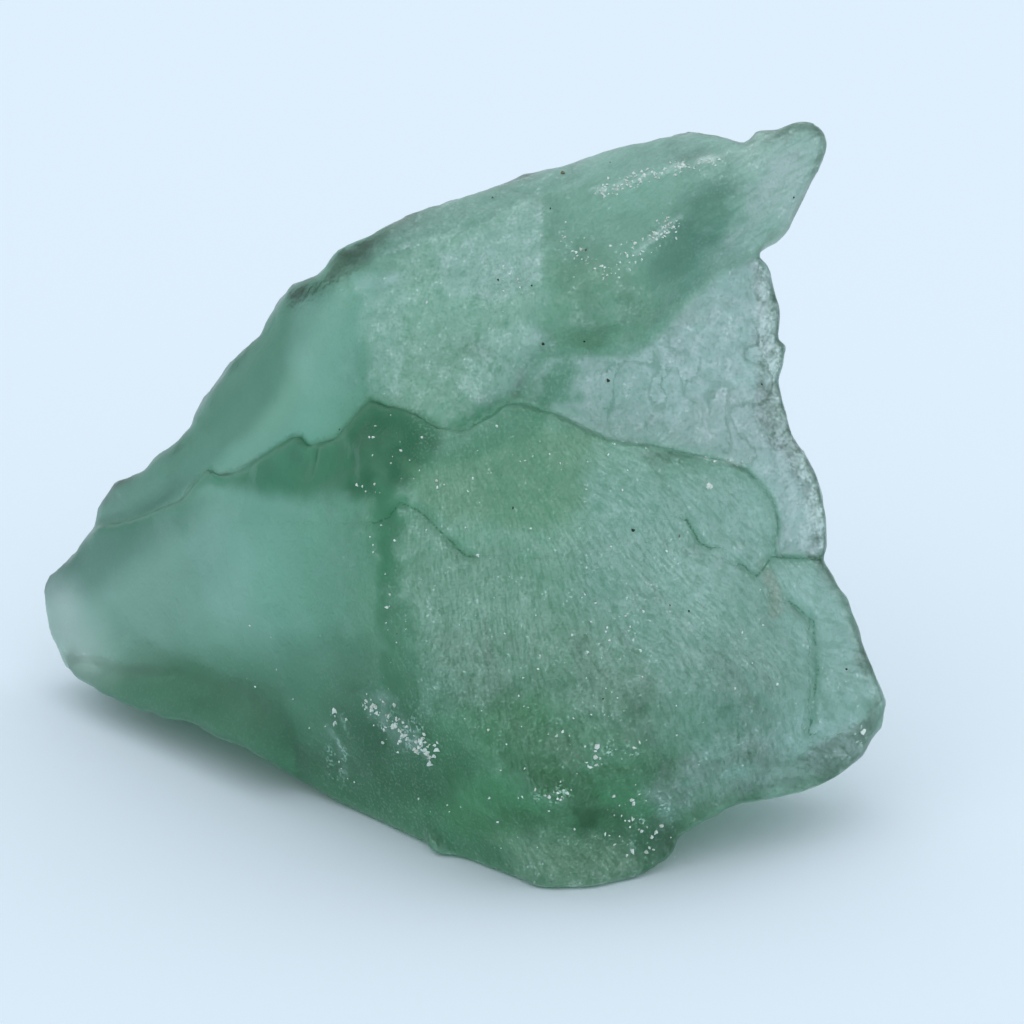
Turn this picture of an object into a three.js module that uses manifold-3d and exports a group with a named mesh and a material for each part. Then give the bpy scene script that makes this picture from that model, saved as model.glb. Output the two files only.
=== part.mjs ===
// Rough fluorite: one broken chunk, 45 mm across, that rests on a small flat of its own.
//
// The stone is held as a field: below zero inside it, above zero outside, and zero on its skin.
// Flat cleavage facets make the form, three lobes of them meet at broken ledges, and rolling
// noise and shallow conchoidal scoops roughen each facet. The skin is then found on a grid, and
// the foot is cut flat.
//
// Millimetres. World: x to the right, y away, z up. The broad broken face leans back by LEAN, and
// the facets are given in its own frame: across to the right, up along the face, out of the face.

import * as THREE from 'three';
import { mergeVertices } from 'three/addons/utils/BufferGeometryUtils.js';
import Module from 'manifold-3d';

// ---- driving dimensions ----

const CELL = 1.05; // grid step of the skin
const LEAN = THREE.MathUtils.degToRad(25); // how far the broad face leans back
const REACH = 304; // outlines widen towards the back, from a point this far in front
const AXIS = { across: 2.5, up: 20.4 }; // the line on which nothing widens
const WALL_LEAN = 0.45; // how fast the side walls close behind the outline
const RIM = 1.0; // upright wall at the outline before they start to close
const BURIED = 1.5; // stone made below the foot, then cut away
const CLEAR = 0.12; // no corner lies closer than this to the cut
const LIMITS = { low: [-27, -4, -3], high: [26, 31, 38] }; // grid box

// The whole outline, clockwise from the left tip: [across, up].
const OUTLINE = [
  [-22.5, 16.2], [-22.3, 16.9], [-20.7, 18.3], [-19.7, 19.6], [-19.5, 20.6], [-18.7, 22.0],
  [-17.2, 22.6], [-14.6, 24.9], [-14.4, 25.6], [-12.6, 28.3], [-10.8, 29.9], [-10.0, 31.5],
  [-9.2, 32.5], [-7.9, 33.0], [-6.7, 34.4], [-4.3, 35.6], [-0.1, 37.2], [1.5, 37.8],
  [5.2, 38.9], [9.7, 40.2], [12.4, 40.7], [14.9, 40.2], [15.6, 40.8], [17.0, 40.7],
  [18.4, 41.0], [19.1, 40.4], [19.0, 39.2], [17.6, 36.8], [15.7, 34.1], [16.3, 33.3],
  [16.8, 31.2], [16.8, 29.7], [17.2, 29.2], [16.8, 27.3], [17.5, 24.6], [18.8, 22.4],
  [19.4, 20.2], [19.4, 18.4], [19.2, 17.8], [20.4, 15.8], [21.3, 13.2], [22.6, 10.2],
  [22.2, 8.9], [21.3, 7.4], [20.3, 6.3], [18.1, 5.2], [14.9, 4.9], [12.9, 3.9],
  [11.5, 3.1], [11.1, 2.0], [9.3, 0.3], [7.8, -0.4], [5.0, -0.4], [2.4, 0.4],
  [-1.8, 2.3], [-7.5, 5.3], [-10.9, 7.4], [-15.1, 9.2], [-17.2, 9.7], [-19.7, 10.8],
  [-21.3, 12.2], [-22.2, 14.4],
];

// The jagged ledge along the top of the lower lobe, left to right.
const LEDGE = [
  [-22.0, 18.6], [-19.6, 19.7], [-17.9, 19.9], [-15.1, 21.0], [-14.5, 21.9], [-13.6, 22.7],
  [-13.2, 22.3], [-12.0, 22.5], [-11.4, 22.9], [-10.4, 23.6], [-9.2, 24.4], [-8.7, 24.4],
  [-8.3, 23.9], [-6.9, 24.3], [-5.8, 25.5], [-5.0, 26.4], [-4.1, 26.0], [-2.8, 25.7],
  [-1.4, 24.9], [0.1, 24.6], [1.3, 25.4], [2.3, 26.1], [3.1, 26.1], [4.8, 25.6],
  [6.2, 24.9], [7.5, 24.3], [8.7, 24.0], [10.8, 23.8], [12.2, 23.4], [13.9, 23.1],
  [15.1, 22.6], [15.8, 22.0], [16.5, 21.0], [16.8, 19.8], [16.6, 18.6], [16.7, 18.0],
  [22.0, 17.9],
];

// The lower edge of the crest, where it stands out over the thin plate, left to right.
const BROW = [
  [-25.0, 8.0], [-1.4, 21.0], [1.0, 23.6], [2.9, 26.7], [3.4, 27.9], [4.4, 28.7],
  [5.5, 28.8], [6.6, 29.0], [8.7, 28.8], [10.1, 29.7], [11.3, 31.0], [12.2, 32.0],
  [13.7, 33.3], [15.7, 34.1], [17.0, 34.6],
];

// Each facet is the plane through three points on it: [across, up, out].
const FACETS = {
  left: [[-3.8, 15.7, 1.2], [-21.7, 15.7, -18.0], [-12.0, 24.0, -8.3]],
  leftTip: [[-18.5, 15.5, -14.8], [-19.5, 11.5, -16.9], [-22.4, 14.5, -20.6]],
  leftUnder: [[-7.3, 6.1, -8.0], [-15.1, 9.3, -14.2], [-7.3, 12.0, -2.2]],
  centre: [[-3.8, 15.7, 1.3], [7.2, 13.1, 2.6], [3.0, 26.1, -0.6]],
  right: [[9.5, 14.0, 2.2], [12.5, 23.7, -3.6], [21.6, 10.4, -4.6]],
  toe: [[5.0, -0.1, 1.6], [9.5, 0.5, 1.0], [7.0, 8.0, 3.4]],
  rightUnder: [[11.3, 2.3, -1.6], [20.3, 6.3, -4.2], [14.5, 9.5, 0.9]],
  crestLeft: [[-3.8, 27.0, -3.0], [-12.0, 24.0, -11.0], [-9.0, 31.0, -8.6]],
  crest: [[-4.0, 27.0, -3.2], [3.0, 30.5, -3.4], [8.0, 38.0, -6.0]],
  horn: [[13.0, 33.5, -2.9], [15.5, 39.7, -5.1], [19.0, 40.2, -7.2]],
  top: [[-6.7, 33.8, -6.6], [17.3, 40.2, -5.6], [5.2, 38.9, -8.9]],
  topLeft: [[-7.5, 33.0, -7.6], [-18.0, 20.8, -16.8], [-13.7, 27.8, -14.0]],
  plate: [[10.0, 26.0, -5.0], [15.0, 33.0, -5.6], [19.3, 20.0, -6.0]],
  back: [[-22.0, 15.0, -22.2], [0.0, 36.0, -13.8], [18.0, 38.0, -11.4]],
  backRight: [[8.0, 5.0, -14.4], [22.0, 10.0, -8.8], [14.0, 32.0, -9.6]],
  backLow: [[-12.0, 12.0, -23.6], [2.0, 9.0, -20.4], [-4.0, 20.0, -21.2]],
};

// The underside rises to either side of the foot: [where it starts in x, rise for each mm].
const RISE_RIGHT = [9.6, 0.33];
const RISE_LEFT = [-7.0, 0.08];

// ---- roughness: the same at every run ----

function lattice(i, j, k, seed) {
  const s = Math.sin(i * 127.1 + j * 311.7 + k * 74.7 + seed * 53.3) * 43758.5453;
  return s - Math.floor(s);
}

function ease(t) {
  return t * t * t * (t * (t * 6 - 15) + 10);
}

// Smooth noise from -1 to 1, with a lattice step of 1.
function valueNoise(x, y, z, seed) {
  const [i, j, k] = [Math.floor(x), Math.floor(y), Math.floor(z)];
  const [sx, sy, sz] = [ease(x - i), ease(y - j), ease(z - k)];
  let total = 0;
  for (let corner = 0; corner < 8; corner++) {
    const [dx, dy, dz] = [corner & 1, (corner >> 1) & 1, corner >> 2];
    const weight = (dx ? sx : 1 - sx) * (dy ? sy : 1 - sy) * (dz ? sz : 1 - sz);
    total += weight * lattice(i + dx, j + dy, k + dz, seed);
  }
  return total * 2 - 1;
}

// Two octaves of noise whose larger lumps are about size across.
function rolling(p, size, seed) {
  const f = 1 / size;
  const g = 2.03 * f;
  const large = valueNoise(p.x * f, p.y * f, p.z * f, seed);
  const small = valueNoise(p.x * g + 3.7, p.y * g + 1.3, p.z * g + 5.1, seed + 1);
  return (large + 0.5 * small) / 1.5;
}

// Shallow dishes with sharp ridges between them: low in a dish, high on a ridge.
function scoops(x, y, z, size, seed) {
  const [u, v, w] = [x / size, y / size, z / size];
  let nearest = 1;
  for (let n = 0; n < 27; n++) {
    const i = Math.floor(u) + (n % 3) - 1;
    const j = Math.floor(v) + (Math.floor(n / 3) % 3) - 1;
    const k = Math.floor(w) + Math.floor(n / 9) - 1;
    const du = i + lattice(i, j, k, seed + 11) - u;
    const dv = j + lattice(i, j, k, seed + 23) - v;
    const dw = k + lattice(i, j, k, seed + 37) - w;
    nearest = Math.min(nearest, du * du + dv * dv + dw * dw);
  }
  return nearest - 0.35;
}

// ---- shapes in the face's frame ----

// Meeting of two solids, with an edge rounded over about blend.
function meet(a, b, blend) {
  const h = Math.max(blend - Math.abs(a - b), 0);
  return Math.max(a, b) + (h * h) / (4 * blend);
}

function join(a, b, blend) {
  return -meet(-a, -b, blend);
}

// The plane out = base + perAcross * across + perUp * up, through three points.
function planeThrough([a, b, c]) {
  const normal = new THREE.Plane().setFromCoplanarPoints(
    new THREE.Vector3(...a), new THREE.Vector3(...b), new THREE.Vector3(...c)).normal;
  const perAcross = -normal.x / normal.z;
  const perUp = -normal.y / normal.z;
  const base = a[2] - perAcross * a[0] - perUp * a[1];
  return { perAcross, perUp, base, steepness: Math.hypot(1, perAcross, perUp) };
}

const PLANES = Object.fromEntries(
  Object.entries(FACETS).map(([name, points]) => [name, planeThrough(points)]));

// Squared distance from a point to a line of points, and whether it lies inside the closed line.
function nearLine(points, across, up, closed) {
  let nearest = Infinity;
  let inside = false;
  const count = closed ? points.length : points.length - 1;
  for (let n = 0; n < count; n++) {
    const [x1, y1] = points[n];
    const [x2, y2] = points[(n + 1) % points.length];
    const [ex, ey] = [x2 - x1, y2 - y1];
    const along = ((across - x1) * ex + (up - y1) * ey) / (ex * ex + ey * ey);
    const t = THREE.MathUtils.clamp(along, 0, 1);
    nearest = Math.min(nearest, (across - x1 - t * ex) ** 2 + (up - y1 - t * ey) ** 2);
    if ((y1 > up) !== (y2 > up) && across < (ex * (up - y1)) / ey + x1) inside = !inside;
  }
  return { distance: Math.sqrt(nearest), inside };
}

function heightOfLine(points, across) {
  if (across <= points[0][0]) return points[0][1];
  for (let n = 1; n < points.length; n++) {
    const [x1, y1] = points[n - 1];
    const [x2, y2] = points[n];
    if (across <= x2) return y1 + ((y2 - y1) * (across - x1)) / (x2 - x1);
  }
  return points[points.length - 1][1];
}

// Distance from an open line: above zero over it, below zero under it.
function overLine(points, across, up) {
  const { distance } = nearLine(points, across, up, false);
  return up > heightOfLine(points, across) ? distance : -distance;
}

// ---- the stone ----

function stone(x, y, z) {
  const p = { x, y, z };
  const out = z * Math.sin(LEAN) - y * Math.cos(LEAN);
  const spread = 1 - out / REACH;
  const across = AXIS.across + (x - AXIS.across) / spread;
  const up = AXIS.up + (y * Math.sin(LEAN) + z * Math.cos(LEAN) - AXIS.up) / spread;

  const broad = rolling(p, 7, 1);
  const lumps = rolling(p, 2.6, 5);
  const warped = [x + 1.6 * broad + 0.5 * lumps, 0.6 * (y + 1.6 * lumps), z - 1.6 * broad];
  const dishes = scoops(...warped, 5.5, 2);
  const chips = scoops(...warped, 2.6, 6);

  const heightOf = (name) => {
    const plane = PLANES[name];
    return plane.base + plane.perAcross * across + plane.perUp * up;
  };
  const behind = (name, rough) => (out - heightOf(name) - rough) / PLANES[name].steepness;
  const inFrontOf = (name, rough) => (heightOf(name) + rough - out) / PLANES[name].steepness;

  // Lower lobe: a smooth facet to the left, a rougher one to the right, both tucked in below.
  const faceRough = 0.35 * broad - 0.25 * dishes + 0.12 * lumps;
  let lower = meet(behind('left', 0.35 * broad), behind('leftUnder', 0.6 * broad + 0.25 * lumps), 2);
  lower = meet(lower, behind('leftTip', 0.3 * lumps), 0.8);
  lower = meet(lower, behind('centre', faceRough), 1.2);
  lower = meet(lower, behind('right', faceRough), 4);
  lower = meet(lower, behind('toe', faceRough + 0.3 * lumps), 2.5);
  lower = meet(lower, behind('rightUnder', 0.8 * broad + 0.3 * lumps), 2);
  lower = meet(lower, overLine(LEDGE, across, up), 0.4);

  // Crest: stands up behind the ledge and ends in the horn at the top right.
  const crestRough = 0.7 * broad - 0.5 * dishes - 0.2 * chips + 0.12 * lumps;
  const brow = overLine(BROW, across, up);
  const plateRough = 0.5 * broad - 0.35 * chips;
  let crest = meet(behind('crestLeft', 0.5 * broad), behind('crest', crestRough), 2.5);
  crest = meet(crest, behind('horn', 0.25 * lumps), 0.5);
  crest = meet(crest, behind('top', 0.3 * lumps), 0.5);
  crest = meet(crest, behind('topLeft', 0.4 * lumps), 0.5);
  const browSlope = out - heightOf('plate') - plateRough - 0.75 * (brow + 0.4 * lumps);
  crest = meet(crest, browSlope / 1.3, 1.6);

  // Plate: the thin wall between the ledge and the crest, on the right.
  const plateEnd = Math.max(brow - 0.6, 0.6 * (-2 - across));
  const plate = meet(behind('plate', plateRough), plateEnd, 0.5);

  const front = join(join(lower, crest, 0.05), plate, 0.25);
  const backRough = 0.9 * broad - dishes - 0.3 * chips;
  let back = meet(inFrontOf('back', backRough), inFrontOf('backRight', backRough), 1.5);
  back = meet(back, inFrontOf('backLow', backRough), 1.5);

  const outline = nearLine(OUTLINE, across, up, true);
  const fromOutline = outline.inside ? -outline.distance : outline.distance;
  const wall = fromOutline + 0.15 * lumps + WALL_LEAN * Math.max(0, -front - RIM);

  const under = 0.45 * broad + 0.3 * lumps - z;
  const [startRight, riseRight] = RISE_RIGHT;
  const [startLeft, riseLeft] = RISE_LEFT;
  let body = meet(meet(front, back, 0.4), wall, 0.4);
  body = meet(body, riseRight * (x - startRight) + under, 0.6);
  body = meet(body, riseLeft * (startLeft - x) + under, 0.6);
  return Math.max(body, -z - BURIED);
}

// ---- the skin, by surface nets: one point in each cell that the skin crosses ----

const COUNTS = LIMITS.low.map((low, axis) => Math.ceil((LIMITS.high[axis] - low) / CELL) + 1);
const CORNERS = [...Array(8).keys()].map((n) => [n & 1, (n >> 1) & 1, n >> 2]);
const EDGES = CORNERS.flatMap((_, n) => [1, 2, 4].filter((bit) => !(n & bit)).map((bit) => [n, n | bit]));
const STEPS = [[1, 0, 0], [0, 1, 0], [0, 0, 1]];

const at = (i, j, k) => i + COUNTS[0] * (j + COUNTS[1] * k);
const place = (i, j, k) => [i, j, k].map((n, axis) => LIMITS.low[axis] + n * CELL);

// Calls visit with each grid point from first on that has a cell beyond it.
function forEachCell(first, visit) {
  for (let k = first; k < COUNTS[2] - 1; k++) {
    for (let j = first; j < COUNTS[1] - 1; j++) {
      for (let i = first; i < COUNTS[0] - 1; i++) visit(i, j, k);
    }
  }
}

function sample(field) {
  const values = new Float64Array(COUNTS[0] * COUNTS[1] * COUNTS[2]).fill(CELL);
  forEachCell(0, (i, j, k) => {
    values[at(i, j, k)] = field(...place(i, j, k));
  });
  return values;
}

// The four grid points of a square or of a cube's diagonal cut would pinch the skin where only
// opposite ones lie inside. The one nearest to the skin is then taken into the stone.
function unpinch(values) {
  const inside = (n) => values[n] < 0;
  let filled = 1;
  const fill = (points) => {
    const [nearest] = points.filter((n) => !inside(n)).sort((a, b) => values[a] - values[b]);
    values[nearest] = -0.1 * CELL;
    filled++;
  };
  while (filled) {
    filled = 0;
    forEachCell(0, (i, j, k) => {
      STEPS.forEach((s, axis) => {
        const t = STEPS[(axis + 1) % 3];
        const square = [[0, 0], [1, 0], [1, 1], [0, 1]].map(([m, n]) =>
          at(i + m * s[0] + n * t[0], j + m * s[1] + n * t[1], k + m * s[2] + n * t[2]));
        const [a, b, c, d] = square.map(inside);
        if (a === c && b === d && a !== b) fill(square);
      });
      const cube = CORNERS.map(([dx, dy, dz]) => at(i + dx, j + dy, k + dz));
      const within = cube.filter(inside).length;
      for (let n = 0; n < 4; n++) {
        const [a, b] = [inside(cube[n]), inside(cube[7 - n])];
        if (a === b && (a ? within === 2 : within === 6)) fill(cube);
      }
    });
  }
}

function skin(field) {
  const values = sample(field);
  unpinch(values);

  const positions = [];
  const pointOf = new Map();
  forEachCell(0, (i, j, k) => {
    const f = CORNERS.map(([dx, dy, dz]) => values[at(i + dx, j + dy, k + dz)]);
    const crossed = EDGES.filter(([a, b]) => (f[a] < 0) !== (f[b] < 0));
    if (!crossed.length) return;
    const middle = new THREE.Vector3();
    for (const [a, b] of crossed) {
      const start = new THREE.Vector3(...CORNERS[a]);
      middle.add(start.lerp(new THREE.Vector3(...CORNERS[b]), f[a] / (f[a] - f[b])));
    }
    middle.multiplyScalar(CELL / crossed.length).add(new THREE.Vector3(...place(i, j, k)));
    pointOf.set(at(i, j, k), positions.length / 3);
    positions.push(middle.x, middle.y, middle.z);
  });

  // Four cells share each grid edge that the skin crosses, and their points make two triangles.
  const indices = [];
  const point = (n) => new THREE.Vector3().fromArray(positions, 3 * n);
  forEachCell(1, (i, j, k) => {
    const here = values[at(i, j, k)] < 0;
    STEPS.forEach((along, axis) => {
      const there = values[at(i + along[0], j + along[1], k + along[2])] < 0;
      if (here === there) return;
      const s = STEPS[(axis + 1) % 3];
      const t = STEPS[(axis + 2) % 3];
      const ring = [[1, 1], [0, 1], [0, 0], [1, 0]].map(([m, n]) =>
        pointOf.get(at(i - m * s[0] - n * t[0], j - m * s[1] - n * t[1], k - m * s[2] - n * t[2])));
      if (!here) ring.reverse();
      const [a, b, c, d] = ring;
      const short = point(a).distanceTo(point(c)) < point(b).distanceTo(point(d));
      indices.push(...(short ? [a, b, c, a, c, d] : [a, b, d, b, c, d]));
    });
  });
  const geometry = new THREE.BufferGeometry();
  geometry.setAttribute('position', new THREE.Float32BufferAttribute(positions, 3));
  geometry.setIndex(indices);
  return geometry;
}

// ---- the flat foot ----

const wasm = await Module();
wasm.setup();

function toSolid(geometry) {
  const bare = geometry.clone();
  bare.deleteAttribute('normal');
  bare.deleteAttribute('uv');
  const merged = mergeVertices(bare);
  const vertProperties = new Float32Array(merged.attributes.position.array);
  const triVerts = new Uint32Array(merged.index.array);
  return new wasm.Manifold(new wasm.Mesh({ numProp: 3, vertProperties, triVerts }));
}

function toGeometry(solid) {
  const { vertProperties, triVerts } = solid.getMesh();
  const geometry = new THREE.BufferGeometry();
  geometry.setAttribute('position', new THREE.BufferAttribute(vertProperties, 3));
  geometry.setIndex(new THREE.BufferAttribute(triVerts, 1));
  geometry.computeVertexNormals();
  return geometry;
}

// Corners that lie almost on the cut are put a little below it, so that it leaves no slivers.
function cutFoot(geometry) {
  const depth = 20;
  const corners = geometry.attributes.position;
  for (let n = 0; n < corners.count; n++) {
    if (Math.abs(corners.getZ(n)) < CLEAR) corners.setZ(n, -CLEAR);
  }
  const ground = new THREE.BoxGeometry(200, 200, depth).translate(0, 0, -depth / 2);
  return toGeometry(toSolid(geometry).subtract(toSolid(ground)));
}

// The origin is the middle of the stone's box, on the ground.
function centre(geometry) {
  geometry.computeBoundingBox();
  const middle = geometry.boundingBox.getCenter(new THREE.Vector3());
  return geometry.translate(-middle.x, -middle.y, 0);
}

const material = new THREE.MeshStandardMaterial({ color: 0x6f9c8c, roughness: 0.45, metalness: 0 });
const fluorite = new THREE.Mesh(centre(cutFoot(skin(stone))), material);
fluorite.name = 'fluorite';

const group = new THREE.Group();
group.add(fluorite);

export default group;
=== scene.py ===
"""A rough chunk of green fluorite, dressed around its solid: broken skin, grain and crumbs."""

import math

import bpy
import numpy as np
from bpy.props import FloatProperty, FloatVectorProperty, IntProperty, PointerProperty
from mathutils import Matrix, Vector


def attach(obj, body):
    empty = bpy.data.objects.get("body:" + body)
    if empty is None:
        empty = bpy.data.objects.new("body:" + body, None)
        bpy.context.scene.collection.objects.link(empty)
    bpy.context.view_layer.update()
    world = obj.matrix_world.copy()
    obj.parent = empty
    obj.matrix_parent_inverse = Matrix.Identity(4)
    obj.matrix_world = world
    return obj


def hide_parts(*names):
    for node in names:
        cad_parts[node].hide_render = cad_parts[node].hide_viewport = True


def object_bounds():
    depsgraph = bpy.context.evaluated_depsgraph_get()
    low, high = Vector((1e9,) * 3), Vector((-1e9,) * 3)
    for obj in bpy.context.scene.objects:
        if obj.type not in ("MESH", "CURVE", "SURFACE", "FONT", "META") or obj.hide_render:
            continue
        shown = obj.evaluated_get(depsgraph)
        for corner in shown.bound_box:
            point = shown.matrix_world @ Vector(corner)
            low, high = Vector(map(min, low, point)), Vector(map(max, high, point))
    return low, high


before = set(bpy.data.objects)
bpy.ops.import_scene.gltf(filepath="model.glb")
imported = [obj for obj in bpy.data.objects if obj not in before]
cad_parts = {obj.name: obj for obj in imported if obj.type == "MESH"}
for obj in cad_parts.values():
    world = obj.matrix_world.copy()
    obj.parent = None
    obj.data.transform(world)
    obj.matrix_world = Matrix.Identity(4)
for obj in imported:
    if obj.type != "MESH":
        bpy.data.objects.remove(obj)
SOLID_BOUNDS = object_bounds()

bl_info = {
    "name": "Rough Fluorite",
    "version": (1, 0, 0),
    "blender": (4, 5, 0),
    "location": "View3D > Sidebar > Fluorite",
    "description": "Builds a broken chunk of green fluorite with its fractured skin and crumbs",
    "category": "Add Mesh",
}

MM = 0.001

# ---- the stone's form, in millimetres: the same facets and lines as its solid ----
# The broad broken face leans back by LEAN. Facets are given in its frame: across, up, out.

LEAN = math.radians(25)
REACH = 304.0  # outlines widen towards the back, from a point this far in front
AXIS_ACROSS, AXIS_UP = 2.5, 20.4  # the line on which nothing widens
MIDDLE = (-0.69, 13.81, 0.0)  # the middle of the solid's box on the ground, in these millimetres
WALL_LEAN = 0.45  # how fast the side walls close behind the outline
RIM = 1.0  # upright wall at the outline before they start to close

OUTLINE = [
    (-22.5, 16.2), (-22.3, 16.9), (-20.7, 18.3), (-19.7, 19.6), (-19.5, 20.6), (-18.7, 22.0),
    (-17.2, 22.6), (-14.6, 24.9), (-14.4, 25.6), (-12.6, 28.3), (-10.8, 29.9), (-10.0, 31.5),
    (-9.2, 32.5), (-7.9, 33.0), (-6.7, 34.4), (-4.3, 35.6), (-0.1, 37.2), (1.5, 37.8),
    (5.2, 38.9), (9.7, 40.2), (12.4, 40.7), (14.9, 40.2), (15.6, 40.8), (17.0, 40.7),
    (18.4, 41.0), (19.1, 40.4), (19.0, 39.2), (17.6, 36.8), (15.7, 34.1), (16.3, 33.3),
    (16.8, 31.2), (16.8, 29.7), (17.2, 29.2), (16.8, 27.3), (17.5, 24.6), (18.8, 22.4),
    (19.4, 20.2), (19.4, 18.4), (19.2, 17.8), (20.4, 15.8), (21.3, 13.2), (22.6, 10.2),
    (22.2, 8.9), (21.3, 7.4), (20.3, 6.3), (18.1, 5.2), (14.9, 4.9), (12.9, 3.9),
    (11.5, 3.1), (11.1, 2.0), (9.3, 0.3), (7.8, -0.4), (5.0, -0.4), (2.4, 0.4),
    (-1.8, 2.3), (-7.5, 5.3), (-10.9, 7.4), (-15.1, 9.2), (-17.2, 9.7), (-19.7, 10.8),
    (-21.3, 12.2), (-22.2, 14.4),
]

LEDGE = [
    (-22.0, 18.6), (-19.6, 19.7), (-17.9, 19.9), (-15.1, 21.0), (-14.5, 21.9), (-13.6, 22.7),
    (-13.2, 22.3), (-12.0, 22.5), (-11.4, 22.9), (-10.4, 23.6), (-9.2, 24.4), (-8.7, 24.4),
    (-8.3, 23.9), (-6.9, 24.3), (-5.8, 25.5), (-5.0, 26.4), (-4.1, 26.0), (-2.8, 25.7),
    (-1.4, 24.9), (0.1, 24.6), (1.3, 25.4), (2.3, 26.1), (3.1, 26.1), (4.8, 25.6),
    (6.2, 24.9), (7.5, 24.3), (8.7, 24.0), (10.8, 23.8), (12.2, 23.4), (13.9, 23.1),
    (15.1, 22.6), (15.8, 22.0), (16.5, 21.0), (16.8, 19.8), (16.6, 18.6), (16.7, 18.0),
    (22.0, 17.9),
]

BROW = [
    (-25.0, 8.0), (-1.4, 21.0), (1.0, 23.6), (2.9, 26.7), (3.4, 27.9), (4.4, 28.7),
    (5.5, 28.8), (6.6, 29.0), (8.7, 28.8), (10.1, 29.7), (11.3, 31.0), (12.2, 32.0),
    (13.7, 33.3), (15.7, 34.1), (17.0, 34.6),
]

FACETS = {
    "left": [(-3.8, 15.7, 1.2), (-21.7, 15.7, -18.0), (-12.0, 24.0, -8.3)],
    "left_tip": [(-18.5, 15.5, -14.8), (-19.5, 11.5, -16.9), (-22.4, 14.5, -20.6)],
    "bevel": [(-3.5, 20.8, 1.0), (-14.5, 20.9, -10.8), (-5.0, 26.0, -2.7)],
    "left_under": [(-7.3, 6.1, -8.0), (-15.1, 9.3, -14.2), (-7.3, 12.0, -2.2)],
    "centre": [(-3.8, 15.7, 1.3), (7.2, 13.1, 2.6), (3.0, 26.1, -0.6)],
    "right": [(9.5, 14.0, 2.2), (12.5, 23.7, -3.6), (21.6, 10.4, -4.6)],
    "toe": [(5.0, -0.1, 1.6), (9.5, 0.5, 1.0), (7.0, 8.0, 3.4)],
    "right_under": [(11.3, 2.3, -1.6), (20.3, 6.3, -4.2), (14.5, 9.5, 0.9)],
    "crest_left": [(-3.8, 27.0, -3.0), (-12.0, 24.0, -11.0), (-9.0, 31.0, -8.6)],
    "crest": [(-4.0, 27.0, -3.2), (3.0, 30.5, -3.4), (8.0, 38.0, -6.0)],
    "horn": [(13.0, 33.5, -2.9), (15.5, 39.7, -5.1), (19.0, 40.2, -7.2)],
    "top": [(-6.7, 33.8, -6.6), (17.3, 40.2, -5.6), (5.2, 38.9, -8.9)],
    "top_left": [(-7.5, 33.0, -7.6), (-18.0, 20.8, -16.8), (-13.7, 27.8, -14.0)],
    "plate": [(10.0, 26.0, -5.0), (15.0, 33.0, -5.6), (19.3, 20.0, -6.0)],
    "back": [(-22.0, 15.0, -22.2), (0.0, 36.0, -13.8), (18.0, 38.0, -11.4)],
    "back_right": [(8.0, 5.0, -14.4), (22.0, 10.0, -8.8), (14.0, 32.0, -9.6)],
    "back_low": [(-12.0, 12.0, -23.6), (2.0, 9.0, -20.4), (-4.0, 20.0, -21.2)],
}

CRACKS = [  # fine cracks of the broad face
    [(-3.5, 20.9), (-2.3, 20.4), (-1.2, 19.3), (0.0, 18.1), (0.5, 18.0)],
    [(-4.8, 19.8), (-4.0, 20.1), (-3.5, 20.9)],
    [(17.4, 15.6), (18.6, 14.6), (18.9, 12.0), (18.4, 8.5)],
    [(14.8, 17.6), (15.6, 16.9), (16.4, 18.0), (19.2, 17.8)],
    [(11.9, 20.0), (12.6, 18.7), (13.2, 18.4)],
]
HORN_TIP = ((18.15, 39.95, -7.6), (15.9, 36.6, -7.6)), (1.0, 1.6)  # its rounded end, and how thick
HORN_TURN = math.radians(33)  # how the horn's streaks lie, from level
FAN = (-2.0, 34.0)  # where the fine ridges of the right face fan out from
CORNER = (-4.6, -3.2)  # where the smooth left facet gives way, across, to the broad rough one
RIDGES = [  # where frost clings along an edge of the crest, how wide and how much
    ([(-5.7, 33.8), (-2.5, 34.8), (0.7, 35.6), (4.0, 37.2)], 0.2, 0.3),
    ([(6.6, 37.5), (7.8, 37.6), (9.3, 38.3), (10.4, 38.4), (12.0, 39.1), (14.4, 39.4)], 0.3, 0.9),
    ([(4.0, 36.8), (4.0, 32.6)], 0.2, 0.3),
    ([(9.3, 34.3), (10.5, 35.4), (11.4, 36.1)], 0.25, 0.8),
    ([(12.5, 23.3), (14.0, 23.1), (15.3, 22.9)], 0.15, 0.8),
]
CRUSHED = [  # crumbled patches: their middle, and how far they reach across and up
    ((-3.3, 8.8), (1.9, 1.2)), ((7.9, 7.4), (1.6, 0.9)), ((4.8, 5.2), (1.1, 0.5)),
    ((9.7, 3.8), (1.4, 1.6)), ((-6.8, 7.7), (0.6, 1.9)),
]

RISE_RIGHT = (9.6, 0.33)  # the underside rises to either side: where from in x, rise per mm
RISE_LEFT = (-7.0, 0.08)
SKIN_LOW = (-27, -4)  # where the search for the skin starts, in x and y
SKIN_HIGH = (26, 31, 38)  # and where it ends, in x, y and z


# ---- roughness ----

def lattice(i, j, k, seed):
    s = np.sin(i * 127.1 + j * 311.7 + k * 74.7 + seed * 53.3) * 43758.5453
    return s - np.floor(s)


def value_noise(x, y, z, seed):
    """Smooth noise from -1 to 1, with a lattice step of 1."""
    cell = [np.floor(c) for c in (x, y, z)]
    part = [c - f for c, f in zip((x, y, z), cell)]
    eased = [t * t * t * (t * (t * 6 - 15) + 10) for t in part]
    total = 0.0
    for corner in range(8):
        step = (corner & 1, (corner >> 1) & 1, corner >> 2)
        weight = 1.0
        for s, e in zip(step, eased):
            weight = weight * (e if s else 1 - e)
        total = total + weight * lattice(*(c + s for c, s in zip(cell, step)), seed)
    return total * 2 - 1


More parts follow.
